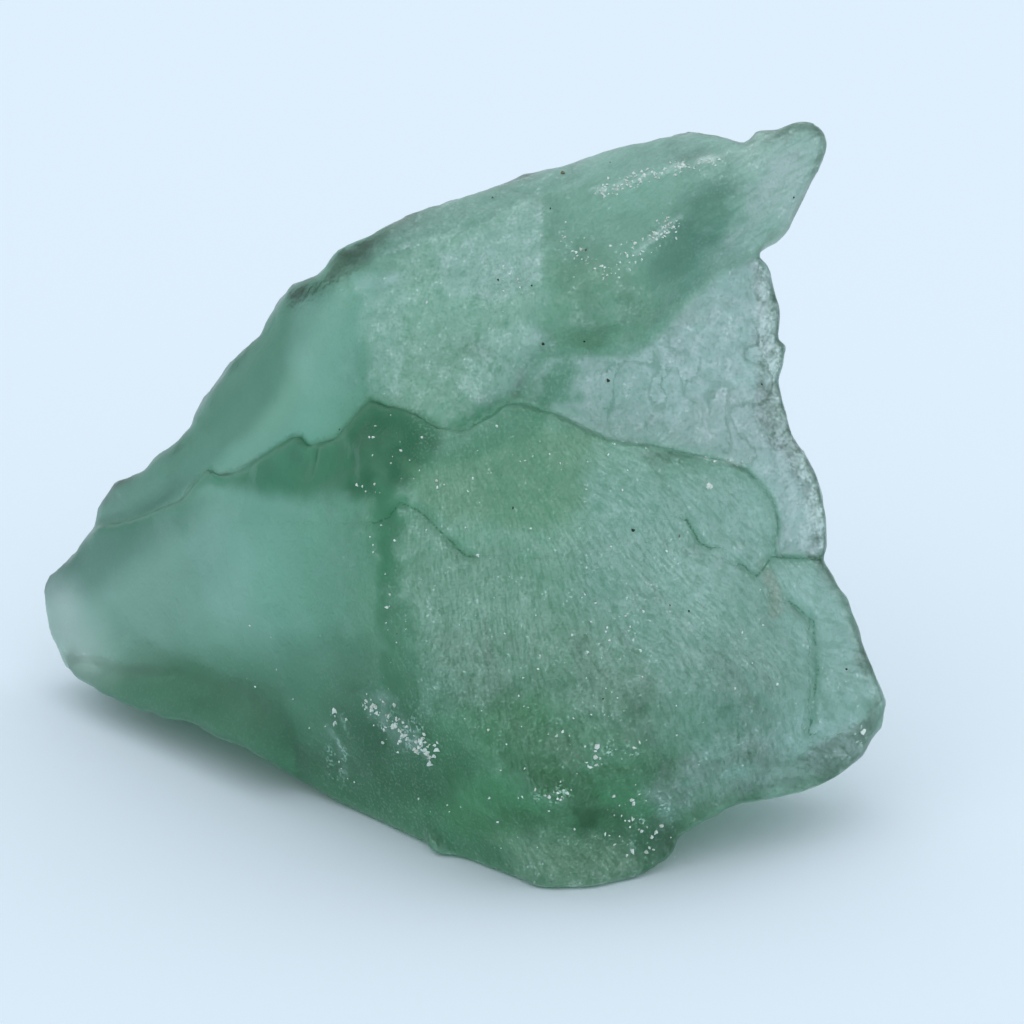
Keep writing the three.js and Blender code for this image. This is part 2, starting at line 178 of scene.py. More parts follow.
def rolling(x, y, z, size, seed):
    """Two octaves of noise whose larger lumps are about size across."""
    f, g = 1 / size, 2.03 / size
    large = value_noise(x * f, y * f, z * f, seed)
    small = value_noise(x * g + 3.7, y * g + 1.3, z * g + 5.1, seed + 1)
    return (large + 0.5 * small) / 1.5


def scoops(x, y, z, size, seed):
    """Shallow dishes with sharp ridges between them: low in a dish, high on a ridge."""
    u, v, w = x / size, y / size, z / size
    nearest = np.ones(np.shape(u))
    for n in range(27):
        i = np.floor(u) + n % 3 - 1
        j = np.floor(v) + n // 3 % 3 - 1
        k = np.floor(w) + n // 9 - 1
        du = i + lattice(i, j, k, seed + 11) - u
        dv = j + lattice(i, j, k, seed + 23) - v
        dw = k + lattice(i, j, k, seed + 37) - w
        nearest = np.minimum(nearest, du * du + dv * dv + dw * dw)
    return nearest - 0.35


# ---- shapes in the face's frame ----

def meet(a, b, blend):
    """Meeting of two solids, with an edge rounded over about blend."""
    h = np.maximum(blend - np.abs(a - b), 0)
    return np.maximum(a, b) + h * h / (4 * blend)


def join(a, b, blend):
    return -meet(-a, -b, blend)


def cut(body, side, rows):
    """The body met with the side of each facet: its name, its roughness and its edge's blend."""
    for name, rough, blend in rows:
        body = meet(body, side(name, rough), blend)
    return body


def plane_through(points):
    """(base, per_across, per_up, steepness) of the plane through three points."""
    rows = np.array([(1, across, up) for across, up, _ in points])
    base, per_across, per_up = np.linalg.solve(rows, [out for _, _, out in points])
    return base, per_across, per_up, math.sqrt(1 + per_across ** 2 + per_up ** 2)


PLANES = {name: plane_through(points) for name, points in FACETS.items()}


def distance_to_line(points, across, up):
    nearest = np.full(np.shape(across), np.inf)
    for (x1, y1), (x2, y2) in zip(points, points[1:]):
        ex, ey = x2 - x1, y2 - y1
        t = np.clip(((across - x1) * ex + (up - y1) * ey) / (ex * ex + ey * ey), 0, 1)
        nearest = np.minimum(nearest, (across - x1 - t * ex) ** 2 + (up - y1 - t * ey) ** 2)
    return np.sqrt(nearest)


def rod(ends, radii, across, up, out):
    """Distance from a round rod that runs from one end's radius to the other's."""
    (a, b, c), along = ends[0], np.subtract(ends[1], ends[0])
    offset = np.stack([across - a, up - b, out - c])
    t = np.clip(np.tensordot(along, offset, 1) / (along ** 2).sum(), 0, 1)
    far = np.sqrt(sum((offset[n] - t * along[n]) ** 2 for n in range(3)))
    return far - radii[0] - t * (radii[1] - radii[0])


def crack_side(across, up):
    """Distance from the nearest crack, above zero over it and below zero under it."""
    sides = np.stack([over_line(line, across, up) for line in CRACKS])
    return np.take_along_axis(sides, abs(sides).argmin(0)[None], 0)[0]


def from_outline(points, across, up):
    """Distance from a closed outline: below zero inside it."""
    closed = points + points[:1]
    inside = np.zeros(np.shape(across), bool)
    for (x1, y1), (x2, y2) in zip(closed, closed[1:]):
        if y1 != y2:
            inside ^= ((y1 > up) != (y2 > up)) & (across < (x2 - x1) * (up - y1) / (y2 - y1) + x1)
    return np.where(inside, -1, 1) * distance_to_line(closed, across, up)


def over_line(points, across, up):
    """Distance from an open line: above zero over it, below zero under it."""
    xs, ys = zip(*points)
    return np.where(up > np.interp(across, xs, ys), 1, -1) * distance_to_line(points, across, up)


def fade(value, low, high):
    """0 at low, 1 at high, smooth between, whichever of the two is greater."""
    t = np.clip((value - low) / (high - low), 0, 1)
    return t * t * (3 - 2 * t)


def patch(across, up, centre, reach):
    """1 in the middle of a soft round patch of the face, 0 outside it."""
    far = np.hypot((across - centre[0]) / reach[0], (up - centre[1]) / reach[1])
    return fade(far, 1.3, 0.7)


def patches(places, across, up):
    return np.maximum.reduce([patch(across, up, *place) for place in places])


def face_frame(x, y, z):
    """Across, up and out of a place in the stone, with the widening towards the back undone."""
    out = z * math.sin(LEAN) - y * math.cos(LEAN)
    spread = 1 - out / REACH
    across = AXIS_ACROSS + (x - AXIS_ACROSS) / spread
    up = AXIS_UP + (y * math.sin(LEAN) + z * math.cos(LEAN) - AXIS_UP) / spread
    return across, up, out


def stone(x, y, z):
    """The stone's field: below zero inside it."""
    across, up, out = face_frame(x, y, z)
    broad = rolling(x, y, z, 7, 1)
    lumps = rolling(x, y, z, 2.6, 5)
    warped = (x + 1.6 * broad + 0.5 * lumps, 0.6 * (y + 1.6 * lumps), z - 1.6 * broad)
    dishes = scoops(*warped, 5.5, 2)
    chips = scoops(*warped, 2.6, 6)
    grit = rolling(x, y, z, 1.1, 15)

    # hackle: fine ridges that fan out from the top of the corner over the right face
    turn = np.arctan2(across - FAN[0], FAN[1] - up)
    far = np.hypot(across - FAN[0], up - FAN[1])
    hackle = rolling(turn * 16.0, far / 7.0, out * 0.05, 1.0, 9)
    fibres = rolling(turn * 34.0 + 0.3 * lumps, far / 3.0, out * 0.05, 1.0, 19)

    # crumbled patches along the bottom, and the steps that cracks leave in the face
    crushed = patches(CRUSHED, across, up)
    crumble = crushed * (-0.5 * scoops(*(1.4 * c for c in warped), 1.9, 31) + 0.35 * grit)
    groove = -0.28 * np.exp(-(crack_side(across, up) / 0.2) ** 2)

    def height(name):
        base, per_across, per_up, _ = PLANES[name]
        return base + per_across * across + per_up * up

    def behind(name, rough):
        return (out - height(name) - rough) / PLANES[name][3]

    def in_front_of(name, rough):
        return (height(name) + rough - out) / PLANES[name][3]

    face_rough = 0.35 * broad - 0.25 * dishes + 0.12 * lumps + 0.16 * hackle + 0.10 * fibres
    face_rough = face_rough + 0.05 * grit + crumble + groove
    lower = cut(behind("left", 0.35 * broad + 0.03 * lumps), behind, (
        ("left_under", 0.6 * broad + 0.25 * lumps, 5),
        ("bevel", 0.5 * lumps + 0.3 * grit - 0.4 * chips, 0.5),
        ("left_tip", 0.3 * lumps, 3),
        ("centre", face_rough, 1.2),
        ("right", face_rough, 4),
        ("toe", face_rough + 0.3 * lumps - 0.2 * chips, 2.5),
        ("right_under", 0.8 * broad + 0.3 * lumps - 0.3 * chips, 2)))
    ragged = rolling(x, y, z, 0.9, 21)
    lower = meet(lower, over_line(LEDGE, across + 0.25 * ragged, up - 0.2 * grit) + 0.3 * grit, 0.3)

    crest_rough = 0.7 * broad - 0.5 * dishes - 0.2 * chips + 0.12 * lumps + 0.05 * grit
    brow = over_line(BROW, across, up)
    plate_rough = 0.5 * broad - 0.35 * chips + 0.05 * grit
    crest = cut(behind("crest_left", 0.5 * broad), behind, (
        ("crest", crest_rough, 1.4), ("horn", 0.25 * lumps, 0.5),
        ("top", 0.3 * lumps, 0.5), ("top_left", 0.4 * lumps, 0.5)))
    brow_slope = out - height("plate") - plate_rough - 0.75 * (brow + 0.4 * lumps)
    crest = meet(crest, brow_slope / 1.3, 1.6)

    plate_end = np.maximum(brow - 0.6, 0.6 * (-2 - across))
    plate = meet(behind("plate", plate_rough), plate_end, 0.5)

    front = join(join(lower, crest, 0.05), plate, 0.25)
    back_rough = 0.9 * broad - dishes - 0.3 * chips + 0.05 * grit
    back = cut(in_front_of("back", back_rough), in_front_of, (
        ("back_right", back_rough, 1.5), ("back_low", back_rough, 1.5)))

    wall = from_outline(OUTLINE, across, up) + 0.15 * lumps + 0.14 * grit
    wall = wall + WALL_LEAN * np.maximum(0, -front - RIM)

    thumb = rod(*HORN_TIP, across, up, out) + 0.2 * lumps

    under = 0.45 * broad + 0.3 * lumps - z
    body = join(meet(meet(front, back, 0.4), wall, 0.4), thumb, 1.2)
    body = meet(body, RISE_RIGHT[1] * (x - RISE_RIGHT[0]) + under, 0.6)
    body = meet(body, RISE_LEFT[1] * (RISE_LEFT[0] - x) + under, 0.6)
    return np.maximum(body, -z)


# ---- the skin, by surface nets: one point in each cell that the skin crosses ----

CORNERS = [(n & 1, n >> 1 & 1, n >> 2) for n in range(8)]
EDGES = [(n, n | bit) for n in range(8) for bit in (1, 2, 4) if not n & bit]


def shifted(grid, step):
    """The grid's values one step on, over the cells that every corner has."""
    return grid[tuple(slice(s, grid.shape[axis] - 1 + s) for axis, s in enumerate(step))]


def sample(field, low, high, step, coarse=4):
    """The field on a grid, worked out only near the skin and kept as plain in or out elsewhere."""
    blocks = np.ceil((np.array(high) - low) / (step * coarse)).astype(int)
    wide = [low[axis] + step * coarse * np.arange(blocks[axis] + 1) for axis in range(3)]
    rough = field(*np.meshgrid(*wide, indexing="ij"))
    corners = np.stack([shifted(rough, c) for c in CORNERS])
    near = (corners.min(0) < step * coarse * 1.3) & (corners.max(0) > -step * coarse * 1.3)
    grid = np.where(rough < 0, -step, step)
    for axis in range(3):
        grid = np.repeat(grid, coarse, axis=axis)
    grid = grid[tuple(slice(0, b * coarse + 1) for b in blocks)].copy()
    wanted = np.zeros(grid.shape, bool)
    for i, j, k in np.argwhere(near) * coarse:
        wanted[i:i + coarse + 1, j:j + coarse + 1, k:k + coarse + 1] = True
    points = np.argwhere(wanted)
    for part in np.array_split(points, max(1, len(points) // 200000)):
        values = field(*(low[axis] + step * part[:, axis] for axis in range(3)))
        grid[tuple(part.T)] = values
    return grid


def unpinch(grid, step):
    """Takes a point into the stone wherever only opposite points of a square or cube lie inside."""
    filled = True
    while filled:
        inside = grid < 0
        add = np.zeros(grid.shape, bool)
        for axis in range(3):
            view = np.moveaxis(inside, axis, 2)
            target = np.moveaxis(add, axis, 2)
            a, b, c, d = view[:-1, :-1], view[1:, :-1], view[1:, 1:], view[:-1, 1:]
            pinched = (a == c) & (b == d) & (a != b)
            target[:-1, :-1] |= pinched & ~a
            target[1:, :-1] |= pinched & a
        cube = np.stack([shifted(inside, c) for c in CORNERS])
        count = cube.sum(0)
        for n in range(4):
            same = cube[n] == cube[7 - n]
            pinched = same & np.where(cube[n], count == 2, count == 6)
            for m in range(8):
                shifted(add, CORNERS[m])[pinched & ~cube[m]] = True
        grid[add] = -0.1 * step
        filled = add.any()


def skin(field, low, high, step):
    """Points and quads of the field's zero surface, in millimetres."""
    grid = sample(field, low, high, step)
    unpinch(grid, step)
    inside = grid < 0
    cube = np.stack([shifted(inside, c) for c in CORNERS])
    cells = np.argwhere(cube.any(0) & ~cube.all(0))
    values = np.stack([grid[tuple((cells + c).T)] for c in CORNERS], axis=1)
    total = np.zeros((len(cells), 3))
    count = np.zeros(len(cells))
    for a, b in EDGES:
        fa, fb = values[:, a], values[:, b]
        crossed = (fa < 0) != (fb < 0)
        t = np.where(crossed, fa / np.where(crossed, fa - fb, 1), 0)[:, None]
        place = np.array(CORNERS[a]) + t * (np.array(CORNERS[b]) - CORNERS[a])
        total += place * crossed[:, None]
        count += crossed
    points = np.array(low) + step * (cells + total / count[:, None])
    number = np.full(cube.shape[1:], -1)
    number[tuple(cells.T)] = np.arange(len(cells))

    quads = []
    for axis in range(3):
        along, s, t = np.eye(3, dtype=int)[[axis, (axis + 1) % 3, (axis + 2) % 3]]
        span = tuple(slice(1, n - 1) for n in grid.shape)
        ahead = tuple(slice(1 + a, n - 1 + a) for a, n in zip(along, grid.shape))
        here, there = inside[span], inside[ahead]
        at = np.argwhere(here != there) + 1
        ring = [number[tuple((at - m * s - n * t).T)] for m, n in ((1, 1), (0, 1), (0, 0), (1, 0))]
        ring = np.stack(ring, axis=1)
        flip = ~inside[tuple(at.T)]
        ring[flip] = ring[flip][:, ::-1]
        quads.append(ring)
    return points, np.concatenate(quads)


# ---- shader maths as Python expressions ----

class Value:
    """One output socket of a material, with sums, products and the like as Math nodes."""

    def __init__(self, graph, socket):
        self.graph = graph
        self.socket = socket

    def math(self, operation, *others, clamp=False):
        return self.graph.node("ShaderNodeMath", {"operation": operation, "use_clamp": clamp}, {
            n: v for n, v in enumerate((self, *others))})

    def __add__(self, other):
        return self.math("ADD", other)

    __radd__ = __add__

    def __sub__(self, other):
        return self.math("SUBTRACT", other)

    def __rsub__(self, other):
        return self.graph.node("ShaderNodeMath", {"operation": "SUBTRACT"}, {0: other, 1: self})

    def __mul__(self, other):
        return self.math("MULTIPLY", other)

    __rmul__ = __mul__

    def clamped(self):
        return self.math("ADD", 0.0, clamp=True)

    def over(self, low, high):
        """0 below low, 1 above high, smooth between; falling where low is above high."""
        return self.graph.node(
            "ShaderNodeMapRange", {"interpolation_type": "SMOOTHSTEP"},
            {"Value": self, "From Min": low, "From Max": high, "To Min": 0.0, "To Max": 1.0})


class Nodes:
    """Adds nodes of any kind to a tree."""

    def __init__(self, tree):
        self.tree = tree

    def node(self, kind, settings=None, inputs=None, output=0):
        node = self.tree.nodes.new(kind)
        for name, value in (settings or {}).items():
            if name == "stops":
                self.set_stops(node.color_ramp, value)
            else:
                setattr(node, name, value)
        for key, value in (inputs or {}).items():
            if isinstance(value, Value):
                self.tree.links.new(value.socket, node.inputs[key])
            else:
                node.inputs[key].default_value = value
        return Value(self, node.outputs[output] if node.outputs else None)

    @staticmethod
    def set_stops(ramp, stops):
        while len(ramp.elements) < len(stops):
            ramp.elements.new(1.0)
        for element, (position, colour) in zip(ramp.elements, stops):
            element.position = position
            element.color = (*colour, 1.0)

    def vector(self, operation, *values, output=0):
        settings = {"operation": operation}
        return self.node("ShaderNodeVectorMath", settings, dict(enumerate(values)), output)


class Graph(Nodes):
    """The node tree of a material or world, empty but for its output."""

    def __init__(self, owner):
        self.owner = owner
        owner.use_nodes = True
        super().__init__(owner.node_tree)
        self.tree.nodes.clear()
        kind = "World" if isinstance(owner, bpy.types.World) else "Material"
        self.output = self.tree.nodes.new("ShaderNodeOutput" + kind)

    def mix(self, factor, low, high):
        """Two colours, mixed by factor."""
        colours = {6: low, 7: high}
        colours = {k: v if isinstance(v, Value) else (*v, 1.0) for k, v in colours.items()}
        settings = {"data_type": "RGBA", "clamp_factor": True}
        return self.node("ShaderNodeMix", settings, {0: factor, **colours}, output=2)

    def noise(self, vector, scale, detail, rough=0.5):
        return self.node("ShaderNodeTexNoise", None, {
            "Vector": vector, "Scale": scale, "Detail": detail, "Roughness": rough})

    def attribute(self, name):
        """A vector that the mesh carries at its points."""
        return self.node("ShaderNodeAttribute", {"attribute_name": name}, output=1)

    def split(self, vector):
        return [self.node("ShaderNodeSeparateXYZ", None, {0: vector}, output=n) for n in range(3)]

    def finish(self, surface, volume=None):
        self.tree.links.new(surface.socket, self.output.inputs["Surface"])
        if volume:
            self.tree.links.new(volume.socket, self.output.inputs["Volume"])
        return self.owner


# ---- finishes ----

# colour, where it lies, strength, softness, change in frosting, and the area's outline
AREAS = [
    ("dusk", "all", 0.9, 1.2, -0.06, [(-24.1, 15.5), (-24.1, 18.9), (-21.7, 21.1), (-19.0, 23.8),
      (-12.3, 30.2), (-7.7, 33.4), (-7.3, 31.8), (-8.6, 29.1), (-9.7, 27.0), (-11.3, 24.8),
      (-13.4, 22.8), (-14.7, 21.5), (-16.9, 19.8), (-18.6, 17.6), (-20.3, 16.2), (-21.7, 16.4)]),
    # painted shade along the top-left outline, where the surface turns away
    ("darkest", "all", 0.4, 1.6, 0.0, [(-16.9, 22.2), (-14.7, 24.6), (-8.9, 32.0), (-7.5, 33.5),
      (-7.7, 31.8), (-10.2, 28.3), (-12.6, 25.6), (-15.8, 22.2)]),
    ("sea", "crest", 0.85, 1.0, -0.05, [(-8.9, 26.4), (-6.5, 30.7), (-5.9, 32.3), (-5.0, 30.2),
      (-5.4, 26.4), (-6.5, 24.3), (-9.4, 22.7), (-10.9, 23.1)]),
    ("shade", "crest", 0.85, 0.35, -0.06, [(-8.9, 34.4), (0.7, 39.8), (12.5, 41.9), (16.2, 41.6),
      (15.5, 40.0), (13.2, 39.7), (10.4, 38.4), (7.8, 37.6), (5.2, 38.1), (4.0, 37.2), (0.7, 35.6),
      (-2.5, 34.8), (-5.7, 33.8)]),
    ("pale", "crest", 0.45, 1.2, 0.03, [(-8.9, 31.8), (-6.5, 32.3), (-6.2, 29.6), (-6.5, 26.4),
      (-8.3, 26.4), (-9.4, 28.6)]),
    # painted light on the crest's lit left edge, with more frosting
    ("pale", "crest", 0.9, 1.0, 0.14, [(-5.7, 33.4), (-3.5, 33.1), (-3.3, 29.6), (-3.5, 26.4),
      (-5.0, 26.2), (-5.6, 29.6)]),
    ("pale", "crest", 0.8, 0.8, 0.16, [(0.7, 29.9), (2.6, 30.4), (4.4, 29.6), (3.4, 27.9),
      (2.1, 26.5), (0.6, 26.0), (-0.2, 27.2)]),
    ("light", "crest", 0.6, 0.8, 0.0, [(-5.2, 31.8), (-1.4, 32.6), (2.9, 32.0), (3.7, 29.4),
      (2.1, 27.2), (0.2, 25.6), (-1.4, 24.5), (-3.3, 24.8), (-5.0, 26.7), (-5.6, 29.6)]),
    ("film", "crest", 0.5, 0.35, 0.03, [(-1.3, 33.8), (0.2, 34.9), (4.0, 36.8), (4.0, 32.6),
      (2.9, 32.0), (-1.2, 31.8)]),
    ("body", "crest", 0.95, 0.4, -0.14, [(4.1, 37.1), (7.2, 38.2), (12.5, 38.7), (14.6, 36.3),
      (12.8, 32.6), (10.9, 31.0), (9.3, 29.4), (7.2, 28.5), (5.0, 28.7), (4.2, 31.8)]),
    ("dusk", "crest", 0.9, 1.5, -0.1, [(9.3, 32.3), (9.8, 34.4), (12.0, 36.8), (14.6, 38.4),
      (14.9, 37.6), (13.8, 35.2), (12.0, 33.1), (10.4, 32.0)]),
    ("sunny", "crest", 0.5, 1.4, 0.0, [(4.6, 33.5), (8.0, 33.8), (10.4, 31.8), (9.3, 29.8),
      (6.6, 29.2), (4.6, 30.4)]),
    ("blush", "crest", 0.75, 0.9, 0.03, [(9.8, 30.6), (12.0, 32.3), (14.1, 35.0), (16.1, 38.2),
      (17.6, 39.8), (18.4, 39.8), (18.3, 37.1), (16.2, 34.4), (15.2, 33.8), (12.5, 32.3)]),
    ("blush", "crest", 0.5, 1.0, 0.02, [(14.4, 39.2), (16.6, 40.8), (19.2, 40.8), (19.0, 38.5),
      (17.0, 36.2), (15.2, 36.6)]),
    # painted shade on the steep little facet of the notch
    ("deep", "notch", 0.8, 0.6, -0.1, [(5.3, 28.8), (4.2, 27.9), (3.7, 26.7), (4.0, 25.9),
      (6.1, 26.2), (6.1, 27.8)]),
    ("frost", "plate", 0.5, 0.9, 0.3, [(15.4, 34.2), (16.9, 31.2), (17.4, 28.5), (17.2, 26.4),
      (18.7, 22.8), (19.6, 20.0), (18.4, 20.0), (17.4, 22.5), (16.2, 26.0), (15.9, 29.0)]),
    ("blush", "plate", 0.6, 0.7, 0.0, [(10.8, 31.8), (12.5, 32.3), (12.8, 30.2), (11.0, 29.9)]),
    ("blush", "plate", 0.6, 0.9, 0.0, [(12.2, 26.4), (17.3, 27.0), (17.8, 23.8), (15.7, 23.2),
      (12.5, 24.3)]),
    # painted shade on the steep faces below the ledge, over the thick stone's own dark green
    ("deep", "lower", 0.9, 1.0, -0.12, [(-6.5, 22.7), (-6.1, 25.4), (-5.1, 26.6), (-4.0, 26.2),
      (-2.9, 25.5), (-2.1, 24.3), (-2.5, 22.6), (-3.8, 21.8), (-5.6, 21.9)]),
    ("darkest", "lower", 1.0, 1.2, -0.12, [(-6.4, 21.4), (-6.5, 26.7), (-6.1, 28.3), (-1.9, 27.6),
      (-1.1, 24.3), (-2.2, 22.3), (-2.9, 21.4), (-4.6, 20.8)]),
    ("deep", "lower", 0.85, 1.3, -0.1, [(-13.0, 22.2), (-11.5, 22.8), (-10.9, 24.0), (-9.7, 24.8),
      (-8.6, 25.1), (-7.9, 24.3), (-6.5, 24.7), (-5.9, 22.7), (-6.7, 21.7), (-8.9, 21.3),
      (-11.5, 21.4)]),
    ("darkest", "lower", 0.6, 1.4, -0.03, [(-13.0, 22.0), (-12.5, 25.9), (-6.5, 26.7), (-6.1, 21.6),
      (-7.3, 20.7), (-10.5, 21.4)]),
    ("darkest", "lower", 0.6, 0.6, -0.06, [(-15.1, 21.8), (-14.4, 23.3), (-12.9, 23.4),
      (-13.0, 21.9)]),
    ("deep", "lower", 0.6, 0.6, -0.1, [(-2.0, 23.8), (0.1, 24.4), (1.8, 25.5), (3.0, 26.6),
      (4.6, 26.2), (4.4, 24.8), (3.0, 24.0), (0.7, 23.4), (-1.4, 23.0)]),
    ("sunny", "lower", 0.8, 1.4, -0.06, [(-2.7, 23.1), (1.8, 23.9), (4.5, 25.4), (7.2, 24.7),
      (6.6, 20.8), (5.0, 19.6), (-1.9, 20.0)]),
    ("deep", "lower", 0.8, 0.8, -0.14, [(-4.8, 22.2), (-3.4, 21.6), (-3.1, 15.7), (-2.6, 8.3),
      (-4.2, 8.0), (-4.4, 13.6), (-4.6, 17.9)]),
    ("pale", "lower", 0.6, 2.6, 0.0, [(6.4, 22.7), (10.8, 22.2), (15.7, 22.7), (23.2, 15.7),
      (23.2, 7.2), (15.7, 5.1), (12.5, 8.3), (9.8, 11.5), (5.8, 15.7)]),
    # darker green over the foot: the thick stone's own colour and painted shade
    ("deep", "lower", 0.92, 3.4, 0.06, [(-23.8, 9.3), (-19.0, 11.5), (-15.3, 13.3), (-11.0, 13.3),
      (-6.2, 11.9), (0.2, 10.9), (7.2, 9.1), (11.4, 5.9), (12.5, -0.3), (-8.9, -0.3),
      (-23.8, 5.1)]),
    ("grass", "lower", 0.8, 1.8, -0.06, [(-1.9, 9.3), (4.0, 10.4), (9.3, 8.3), (9.8, 4.3),
      (7.2, 2.9), (1.8, 2.9), (-1.4, 4.5)]),
    ("light", "lower", 0.45, 1.6, 0.06, [(4.0, 10.4), (8.2, 10.9), (9.3, 7.7), (7.2, 6.4),
      (4.5, 6.9)]),
    ("pale", "lower", 0.8, 1.4, 0.14, [(9.8, 5.6), (12.5, 8.0), (17.3, 9.1), (21.6, 10.9),
      (21.3, 7.2), (16.2, 5.3), (12.5, 4.8), (10.6, 3.5)]),
    ("darkest", "lower", 0.65, 1.8, -0.06, [(-7.3, 10.4), (-1.4, 9.6), (0.7, 6.7), (-1.9, 4.5),
      (-5.7, 6.7)]),
    # painted light from the floor along the very foot, yellower, with more frosting
    ("sunny", "lower", 0.75, 1.6, 0.14, [(1.8, 3.4), (5.0, 3.0), (8.2, 2.7), (9.8, 1.8),
      (7.2, -0.3), (2.9, 0.8)]),
    ("darkest", "lower", 0.8, 0.5, -0.1, [(5.8, 4.4), (6.6, 4.6), (7.3, 3.9), (6.7, 3.1),
      (6.0, 3.4)]),
    ("shade", "lower", 0.6, 3.0, 0.0, [(-21.7, 16.8), (-19.0, 19.5), (-14.2, 21.1), (-11.5, 20.0),
      (-12.1, 14.7), (-16.9, 12.5), (-20.1, 13.6)]),
    ("pale", "lower", 0.45, 1.8, 0.03, [(-14.4, 20.8), (-11.5, 21.1), (-10.9, 17.9), (-12.1, 14.7),
      (-13.9, 15.2), (-14.5, 17.9)]),
    ("sea", "lower", 0.6, 1.8, -0.04, [(-9.9, 20.0), (-7.0, 20.0), (-6.5, 15.7), (-7.5, 13.1),
      (-9.7, 13.6), (-10.5, 16.8)]),
    ("dusk", "lower", 0.55, 1.8, -0.06, [(-9.9, 13.6), (-5.1, 14.1), (-4.6, 10.4), (-7.3, 9.3),
      (-9.7, 10.9)]),
    ("dusk", "lower", 0.85, 2.0, 0.0, [(-22.6, 15.7), (-22.3, 18.1), (-19.5, 19.6), (-16.3, 21.0),
      (-13.9, 21.1), (-14.7, 19.5), (-16.9, 17.9), (-18.9, 16.3), (-21.0, 15.5)]),
    # whitish left tip: frosted, with a painted reflection of its end facet
    ("frost", "lower", 0.75, 2.6, 0.2, [(-22.2, 16.3), (-20.9, 16.5), (-19.5, 13.6), (-19.0, 11.5),
      (-20.3, 10.9), (-21.9, 13.1)]),
    ("deep", "lower", 0.4, 2.5, 0.0, [(-9.4, 11.2), (-6.8, 11.2), (-6.0, 9.0), (-6.2, 7.0),
      (-8.6, 7.0)]),
    ("film", "lower", 0.4, 0.7, 0.16, [(-5.4, 10.4), (-4.6, 10.4), (-3.2, 9.2), (-1.9, 8.0),
      (-1.5, 7.2), (-2.3, 7.3), (-3.6, 8.1), (-4.7, 9.4)]),
    ("film", "lower", 0.25, 0.6, 0.12, [(-7.3, 8.8), (-6.8, 9.0), (-6.5, 7.6), (-6.2, 6.2),
      (-6.7, 6.0), (-7.1, 7.4)]),
    ("stain", "lower", 0.6, 0.3, 0.1, [(15.9, 17.8), (16.4, 17.6), (16.9, 16.3), (17.1, 15.0),
      (16.5, 14.7), (16.1, 15.7)]),
]

# white crumbs: the line they lie along, how far they stray from it, how many, and their size
CRUMB_TRAILS = [
    ([(-5.2, 10.4), (-4.9, 10.0), (-4.3, 9.6)], 0.3, 30, 0.1),
    ([(-4.0, 9.6), (-3.6, 8.9), (-3.2, 8.7)], 0.22, 36, 0.12),
    ([(-3.0, 8.4), (-2.6, 7.9), (-2.1, 7.9), (-1.6, 7.4)], 0.3, 52, 0.13),
    ([(-4.6, 9.4), (-3.0, 8.0)], 0.4, 20, 0.1),
    ([(6.5, 6.8), (7.2, 7.4), (8.5, 7.8), (9.4, 8.1)], 0.35, 20, 0.11),
    ([(4.0, 5.1), (4.8, 5.2), (5.7, 5.6)], 0.3, 16, 0.1),
    ([(8.6, 5.1), (9.3, 4.4), (9.8, 3.0), (10.6, 2.5)], 0.5, 34, 0.11),
    ([(7.2, 3.1), (8.3, 2.9), (9.6, 2.6)], 0.25, 10, 0.1),
    ([(-6.9, 9.5), (-7.2, 8.3), (-6.8, 6.9), (-6.5, 6.1)], 0.35, 14, 0.1),
    ([(-5.6, 21.9), (-5.1, 21.6), (-4.8, 21.2)], 0.25, 8, 0.11),
    ([(6.8, 37.6), (8.1, 37.6), (9.3, 38.3), (10.8, 38.4)], 0.22, 130, 0.07),
    ([(11.2, 38.8), (12.0, 39.0), (14.1, 39.3)], 0.2, 80, 0.06),
    ([(9.7, 34.6), (10.4, 35.4), (11.2, 35.9)], 0.28, 80, 0.07),
    ([(8.3, 34.3), (9.0, 34.6), (9.3, 34.0)], 0.3, 26, 0.07),
    ([(5.3, 35.8), (5.7, 34.4), (6.6, 33.7), (7.8, 33.1), (8.9, 33.5)], 0.35, 70, 0.06),
    ([(-2.2, 32.2), (-2.0, 31.4)], 0.2, 4, 0.08),
    ([(1.8, 33.4), (2.5, 32.3), (3.4, 32.2)], 0.4, 30, 0.055),
    ([(12.7, 23.3), (14.0, 23.1), (15.3, 22.9)], 0.12, 12, 0.09),
    ([(12.7, 21.9), (13.2, 21.7)], 0.1, 6, 0.12),
    ([(21.2, 8.8), (21.5, 8.6)], 0.08, 3, 0.16),
    ([(-4.9, 24.0), (-4.0, 24.8), (-2.5, 22.7), (-1.6, 21.1)], 0.7, 22, 0.07),
    ([(-4.6, 20.0), (-3.8, 15.7), (-3.3, 10.9)], 0.6, 22, 0.07),
    ([(0.2, 22.7), (5.0, 23.8), (9.3, 22.7)], 1.0, 30, 0.07),
    ([(-0.9, 17.9), (5.0, 15.7), (9.3, 11.5)], 2.2, 60, 0.06),
    ([(0.7, 10.4), (5.0, 8.3), (9.3, 10.4)], 1.6, 40, 0.06),
    ([(-1.4, 5.1), (4.0, 2.9), (7.7, 2.4)], 1.2, 30, 0.06),
    ([(12.0, 17.9), (15.7, 11.5), (18.9, 8.3)], 2.2, 30, 0.06),
    ([(-11.5, 13.6), (-8.9, 10.4), (-7.3, 13.6)], 1.2, 14, 0.05),
]

